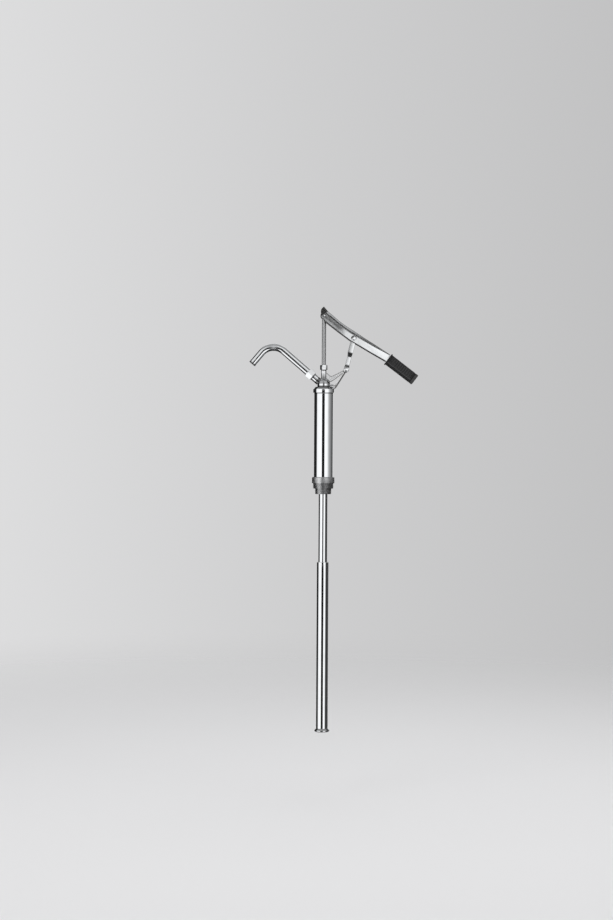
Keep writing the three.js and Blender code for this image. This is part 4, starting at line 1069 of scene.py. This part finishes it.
link = {
    "fulcrum": (64.5, 327.0), "angle": radians(76.72), "length": 94.0, "eye": 7.4, "waist": 6.0,
    "thickness": 3.0, "endFace": 4.5, "waistFace": 0.25, "bends": ((7.4, 15.4), (39.4, 51.4)), "edge": 1.1,
    "shadeBand": (0.92, 0.75), "shadeInset": 0.8, "shadeSoft": 2.5, "edgeMark": (0.6, 4.9, 9, 0.9),
}
linkTilt = Tilt(link["fulcrum"], link["angle"])


def ease(share):
    share = max(0.0, min(1.0, share))
    return share * share * (3 - 2 * share)


# One pressed plate: round eyes, a slimmer waist and two joggles
def linkPlate(size, side):
    eye, length = size["eye"], size["length"]
    places = [eye * -cos(pi * step / 32) for step in range(1, 17)]
    places += [length * step / 90 for step in range(1, 90)]
    places += [length + eye * sin(pi * step / 32) for step in range(16)]
    rings = []
    for along in places:
        first, second = [ease((along - start) / (end - start)) for start, end in size["bends"]]
        narrow = first - second
        width = eye - (eye - size["waist"]) * narrow
        if not 0 <= along <= length:
            width = sqrt(max(eye ** 2 - (along if along < 0 else along - length) ** 2, 0.0))
        inner = size["endFace"] - (size["endFace"] - size["waistFace"]) * narrow
        outer = inner + size["thickness"]
        section = eased(
            [(inner, -width), (outer, -width), (outer, width), (inner, width)], min(size["edge"], width * 0.6), 4)
        rings.append([linkTilt.place((along, side * y, across)) for y, across in section])
    return skin(rings, closed=False, capped=True)


# Painted shade in both joggles and along the edge away from the lever
def linkShade(point):
    along, across = linkTilt.back(point)
    inset, soft = link["shadeInset"], link["shadeSoft"]
    joggles = [band(along, share, start + inset, end - inset, soft)
               for share, (start, end) in zip(link["shadeBand"], link["bends"])]
    return max(*joggles, band(across, *link["edgeMark"]))


linkPlating = plating("linkPlating", wave=0.01, lines=0.01)
for node, side in (("link_plate_front", -1), ("link_plate_rear", 1)):
    markPoints(shown(node, linkPlate(link, side), 50, linkPlating), linkShade)
print("bracket, lever, grip and link made")

pins = {  # centre, half length or face, and the heads
    "hole": 3.8, "shank": 3.5,
    "rod": {"centre": (0, 0, 483.693), "face": 10.3, "head": 4.6, "height": 1.6},
    "fulcrum": {"centre": (64.5, 0, 327.0), "face": 7.8, "head": 6.7, "height": 2.6},
    "link": {"centre": (86.094, 0, 418.486), "reach": 7.75, "spacer": 6.3, "spacerReach": 4.2},
    "rivet": {"stub": 8.15, "seat": 10.3, "head": 6.3, "height": 2.2},
    "washer": (7.6, 6.3, 7.7, 0.25),  # radius, both faces and edge
    "rodRimShade": (0.85, 3.0, 9, 0.8), "rivetMark": (0.92, 3.0, 9, 0.9),
}


# Low head on a seat, flat in the middle with a round shoulder, as profile points
def domed(radius, seat, height, flat=0.55):
    points = [(radius, seat, 0.15), (radius, seat + height * 0.3, 0)]
    for angle in [pi / 2 * step / 9 for step in range(1, 9)]:
        reach = flat + (1 - flat) * cos(angle)
        points.append((radius * reach, seat + height * (0.3 + 0.7 * sin(angle)), 0))
    return [*points, (radius * flat, seat + height, 0), (0, seat + height, 0)]


def headedPin(radius, centre, face, head, height):
    cap = domed(head, face, height)
    profile = [(r, -y, s) for r, y, s in reversed(cap)] + [(radius, -face, 0), (radius, face, 0)] + cap
    return turned(eased(profile, 0.2, 3), 64, centre, (0, 1, 0))


hole, shank, pin, rivet = pins["hole"], pins["shank"], pins["link"], pins["rivet"]
rodPin = shown("rod_pin", headedPin(shank, **pins["rod"]))
shown("fulcrum_pin", headedPin(shank, **pins["fulcrum"]))
markPoints(rodPin, lambda point: band(  # painted shade round its rim
    hypot(point.x, point.z - pins["rod"]["centre"][2]), *pins["rodRimShade"]))
shown("link_pin", turned(eased([
    (0, -pin["reach"], 0), (shank, -pin["reach"]), (shank, pin["reach"]), (0, pin["reach"], 0)]),
    48, pin["centre"], (0, 1, 0)))
shown("link_spacer", turned(
    tubeWall(hole, pin["spacer"], -pin["spacerReach"], pin["spacerReach"], 0.4), 48, pin["centre"], (0, 1, 0)))


# Shadow on the side of a rivet away from the light
def rivetShadow(point):
    x, y, z = pin["centre"]
    return band((point.z - z - point.x + x) / sqrt(2), *pins["rivetMark"])


rivetProfile = eased([
    (0, rivet["stub"], 0), (shank, rivet["stub"], 0.2), (shank, rivet["seat"], 0),
    *domed(rivet["head"], rivet["seat"], rivet["height"])], 0.2, 3)
for node, side in (("lever_rivet_front", -1), ("lever_rivet_rear", 1)):
    markPoints(shown(node, turned(rivetProfile, 64, pin["centre"], (0, side, 0))), rivetShadow)
for node, side in (("rod_washer_front", -1), ("rod_washer_rear", 1)):
    shown(node, turned(
        tubeWall(hole, *pins["washer"]), 64, pins["rod"]["centre"], (0, side, 0)))

rod = {"radius": 6.0, "stub": 4.0, "bottom": 145.2, "shoulder": 188.2, "eye": 9.5, "eyeHalf": 6, "pin": 483.693}


# Rod and its round eye, joined where they meet
def pistonRod(radius, stub, bottom, shoulder, eye, eyeHalf, pin):
    where = {"sides": 72, "origin": (0, 0, pin), "axis": (0, 1, 0)}
    shank = block(turned(eased([
        (0, bottom, 0), (stub, bottom, 0.5), (stub, shoulder, 0.1), (radius, shoulder, 0.4), (radius, pin - 4, 0),
        (0, pin - 4, 0)]), 72))
    ring = block(turned(eased([
        (hole, -eyeHalf, 0.3), (eye, -eyeHalf, 0.8), (eye, eyeHalf, 0.8), (hole, eyeHalf, 0.3)]), **where))
    cut = block(turned([(0, -8), (hole, -8), (hole, 8), (0, 8)], **where))
    return carved(carved(shank, "UNION", ring), "DIFFERENCE", cut)


dressed(pistonRod(**rod), "piston_rod")

tubes = {  # inner and outer radius, bottom, top and edge
    "suction_tube_outer": (15.85, 17.35, -708.2, -227.9, 0.6),
    "slide_collar": (13.35, 15.55, -243.9, -228.3, 0.5),
}
innerTube = {"bore": 11.5, "radius": 13.0, "bottom": -485.7, "top": 4.3, "flare": 14.7, "flareBottom": 1.7}
foot = {
    "bore": 6.5, "rim": 22.0, "bottom": -717.5, "chamfer": 2.0, "rimTop": -712.9, "top": -708.5, "neck": 17.65,
    "spigot": 15.55, "spigotTop": -677.54, "chamber": 11.0, "seat": -701.5,
}
ball = {"radius": 8.0, "centre": (0, 0, -696.54)}


def flaredTube(bore, radius, bottom, top, flare, flareBottom):
    return turned(eased([
        (bore, bottom, 0.4), (radius, bottom, 0.5), (radius, flareBottom, 0.3), (flare, flareBottom, 0.3),
        (flare, top, 0.4), (bore, top, 0.4)]), 96)


def footValve(bore, rim, bottom, chamfer, rimTop, top, neck, spigot, spigotTop, chamber, seat):
    return turned(eased([
        (bore, bottom, 0.4), (rim - chamfer, bottom, 0.5), (rim, bottom + chamfer, 0.7), (rim, rimTop, 1.0),
        (neck, top, 0.6), (spigot, top, 0.2), (spigot, spigotTop, 0.6), (chamber, spigotTop, 0.3),
        (chamber, seat, 0.8), (bore, seat, 0.8)]), 128)


shown("suction_tube_inner", flaredTube(**innerTube))
for node, wall in tubes.items():
    shown(node, turned(tubeWall(*wall), 96))
shown("foot_valve_body", footValve(**foot), sharp=50)
shown("foot_valve_ball", turned([
    (ball["radius"] * sin(angle), -ball["radius"] * cos(angle))
    for angle in [pi * step / 32 for step in range(33)]], 64, ball["centre"]))
print("pins, rod and tubes made")

stageLook = {
    "floorColour": (0.80, 0.80, 0.805), "rings": (0.0, 0.5, 1, 2, 3, 4, 5.2), "fadeFrom": 1.2, "fadeTo": 5.0,
    "drop": 0.1905,  # how far the lower suction tube slides down from rest
    "tint": (1.0, 1.0, 1.008), "zenith": 0.9, "left": 0.76, "middle": 0.62, "right": 0.51,
}


# A piece of the studio, in metres, hidden from some kinds of ray
def staged(name, points, faces, paint, *hidden):
    mesh = bpy.data.meshes.new(name)
    mesh.from_pydata(points, [], faces)
    mesh.materials.append(paint.holder)
    piece = bpy.data.objects.new(name, mesh)
    scene.collection.objects.link(piece)
    for kind in hidden:
        setattr(piece, "visible_" + kind, False)
    return mesh


# Pale floor that melts into the pale surround
def paleFloor(look):
    height = cadLow.z - look["drop"]
    points, faces = skin([
        [Vector((ring * cos(angle), ring * sin(angle), height)) for angle in evenAngles(64)]
        for ring in look["rings"]], closed=False)
    paint = Paint("floorPaint")
    reach = paint.node("VectorMath", {"operation": "LENGTH"}, {0: paint.spot()}, "Value")
    matt = paint.node("BsdfDiffuse", None, {"Color": look["floorColour"]})
    clear = paint.node("BsdfTransparent")
    paint.finished(paint.node("MixShader", None, {
        0: paint.fade(reach, look["fadeFrom"], look["fadeTo"]), 1: matt, 2: clear}))
    staged("floor", points, faces, paint, "glossy")


def paleSurround(look):
    scene.world = bpy.data.worlds.new("surround")
    paint = Paint("surround", scene.world)
    height, across = [
        paint.node("SeparateXYZ", None, {0: paint.spot("Generated")}, axis) * 0.5 + 0.5 for axis in "ZX"]
    level = paint.ramp(height, (0.64, 1.0), (0.9, look["zenith"]))
    drift = paint.ramp(across, (0.38, look["left"]), (0.5, look["middle"]), (0.62, look["right"]))
    colour = paint.node("Mix", {"data_type": "RGBA", "blend_type": "MULTIPLY"}, {
        0: 1.0, 6: look["tint"], 7: level * drift}, 2)
    paint.finished(paint.node("Background", None, {"Color": colour}), "OutputWorld")


# Tall curved studio cards round the pump, seen only in its polish. Each has its lowest and highest
# elevation from the pump, stops of azimuth (from the viewer towards +X) and glow, and at times a distance
cards = {
    "leftDark": (-50, 47, [(-157, 0.025), (-90, 0.015)]),
    "leftWhite": (-46, 14, [(-90, 0.02), (-80, 1.1), (-19, 1.25)]),
    "leftHigh": (14, 47, [(-90, 0.02), (-80, 0.8), (-19, 0.85)]),
    "leftBase": (-50, -46, [(-90, 0.02), (-19, 0.02)]),
    "viewerDark": (-50, 3.58, [(-19, 0.015), (13, 0.015)]),
    "viewerLeft": (3.58, 8, [(-19, 1.15), (-5.4, 1.15)]),
    "spoutDark": (3.58, 8, [(-5.4, 0.015), (0.3, 0.015)]),
    "viewerWhite": (3.58, 8, [(0.3, 1.1), (13, 1.15)]),
    "upperDark": (8, 23, [(0.3, 0.03), (13, 0.03)]),
    "upperLeft": (8, 17, [(-19, 0.6), (-12.5, 0.55)]),
    "upperMiddle": (8, 17, [(-12.5, 0.03), (-4, 0.03)]),
    "upperCentre": (8, 17, [(-4, 0.5), (0.3, 0.5)]),
    "upperGrey": (17, 47, [(-19, 0.5), (0.3, 0.45)]),
    "upperBright": (23, 47, [(0.3, 0.5), (6, 0.9), (13, 0.95)]),
    "bendGrey": (-50, -12, [(-6, 0.3), (4, 0.3)], 15.8),
    "lowDark": (-24, -12, [(-27, 0.015), (-19, 0.015)], 15.8),
    "tubeDark": (-12, -4.4, [(-24, 0.012), (17, 0.012)], 15.8),
    "rightWhite": (-50, 13, [(13, 1.25), (48, 1.15)]),
    "rightHigh": (13, 47, [(13, 0.95), (48, 0.9)]),
    "rightGrey": (-0.9, 4.15, [
        (48, 1.1), (65, 0.54), (81, 0.36), (97, 0.24), (116, 0.15), (124, 0.05), (150, 0.04)]),
    "rightGreyHigh": (4.15, 16, [(48, 0.8), (90, 0.5), (119, 0.4), (130, 0.07), (150, 0.04)]),
    "rightTop": (16, 47, [(48, 0.85), (70, 0.5), (92, 0.12), (150, 0.04)]),
    "rightLow": (-50, -0.9, [(48, 1.1), (62, 0.05), (100, 0.04), (120, 0.1), (150, 0.1)]),
    "backWhite": (-24, 47, [(150, 0.9), (203, 0.9)]),
    "backLow": (-50, -24, [(150, 0.1), (203, 0.1)]),
}


# Glowing sheet that only the polish sees; its glow is one strength, or the mark at its points
def glowing(name, points, faces, strength=None):
    paint = Paint(name + "Paint")
    glow = paint.mark("glow") if strength is None else strength
    paint.finished(paint.node("Emission", None, {"Strength": glow}))
    return staged(name, points, faces, paint, "camera", "diffuse", "transmission", "volume_scatter", "shadow")


def studioCard(name, low, high, stops, distance=16.0):
    points, glows = [], []
    for (start, first), (end, last) in zip(stops, stops[1:]):
        columns = max(2, round((end - start) / 3))
        for share in [column / columns for column in range(columns + 1)]:
            angle = radians(start + (end - start) * share)
            for elevation in (low, high):
                points.append((distance * sin(angle), -distance * cos(angle),
                               distance * tan(radians(elevation))))
                glows.append(first + (last - first) * share)
    faces = [(2 * i, 2 * i + 2, 2 * i + 3, 2 * i + 1) for i in range(len(points) // 2 - 1)]
    mesh = glowing(name, points, faces)
    mesh.attributes.new("glow", "FLOAT", "POINT").data.foreach_set("value", glows)


# Dim ceiling or dark pit for the polish
def studioLid(name, height, radius, glow):
    points = [(radius * cos(angle), radius * sin(angle), height) for angle in evenAngles(48)]
    glowing(name, points, [tuple(range(48))], glow)


lids = {"ceiling": (17.0, 17.5, 0.36), "pit": (-19.1, 17.5, 0.03)}
lamps = {
    "key": ((-2.2, -2.6, 2.6), 2.4, 40.0),
    "fill": ((2.8, -2.0, 1.4), 2.4, 18.0),
    "top": ((0.4, 0.4, 3.4), 2.6, 38.0),
}  # place, width and power


def softLamp(name, place, size, power, aim=(0, 0, -0.1)):
    light = bpy.data.lights.new(name, "AREA")
    light.shape = "DISK"
    light.size = size
    light.energy = power
    lamp = bpy.data.objects.new(name, light)
    scene.collection.objects.link(lamp)
    lamp.location = place
    lamp.rotation_euler = (Vector(aim) - Vector(place)).to_track_quat("-Z", "Y").to_euler()
    lamp.visible_glossy = False
    lamp.visible_camera = False


paleFloor(stageLook)
paleSurround(stageLook)
for make, table in ((studioCard, cards), (studioLid, lids), (softLamp, lamps)):
    for name, values in table.items():
        make(name, *values)

shot = {
    "aim": (-0.0486, 0.0, 0.0666), "distance": 5.0, "halfHeight": 1.3294, "roll": 0.32, "farthest": 100,
}
camera = bpy.data.cameras.new("shot")
camera.lens = camera.sensor_width / 2 * shot["distance"] / shot["halfHeight"]
camera.clip_end = shot["farthest"]
cameraPiece = bpy.data.objects.new("shot", camera)
scene.collection.objects.link(cameraPiece)
cameraPiece.location = Vector(shot["aim"]) - Vector((0, shot["distance"], 0))
cameraPiece.rotation_mode = "XYZ"
cameraPiece.rotation_euler = (pi / 2, radians(-shot["roll"]), 0)
scene.camera = cameraPiece
scene.view_settings.view_transform = "Standard"
print("stage, lamps and camera made")
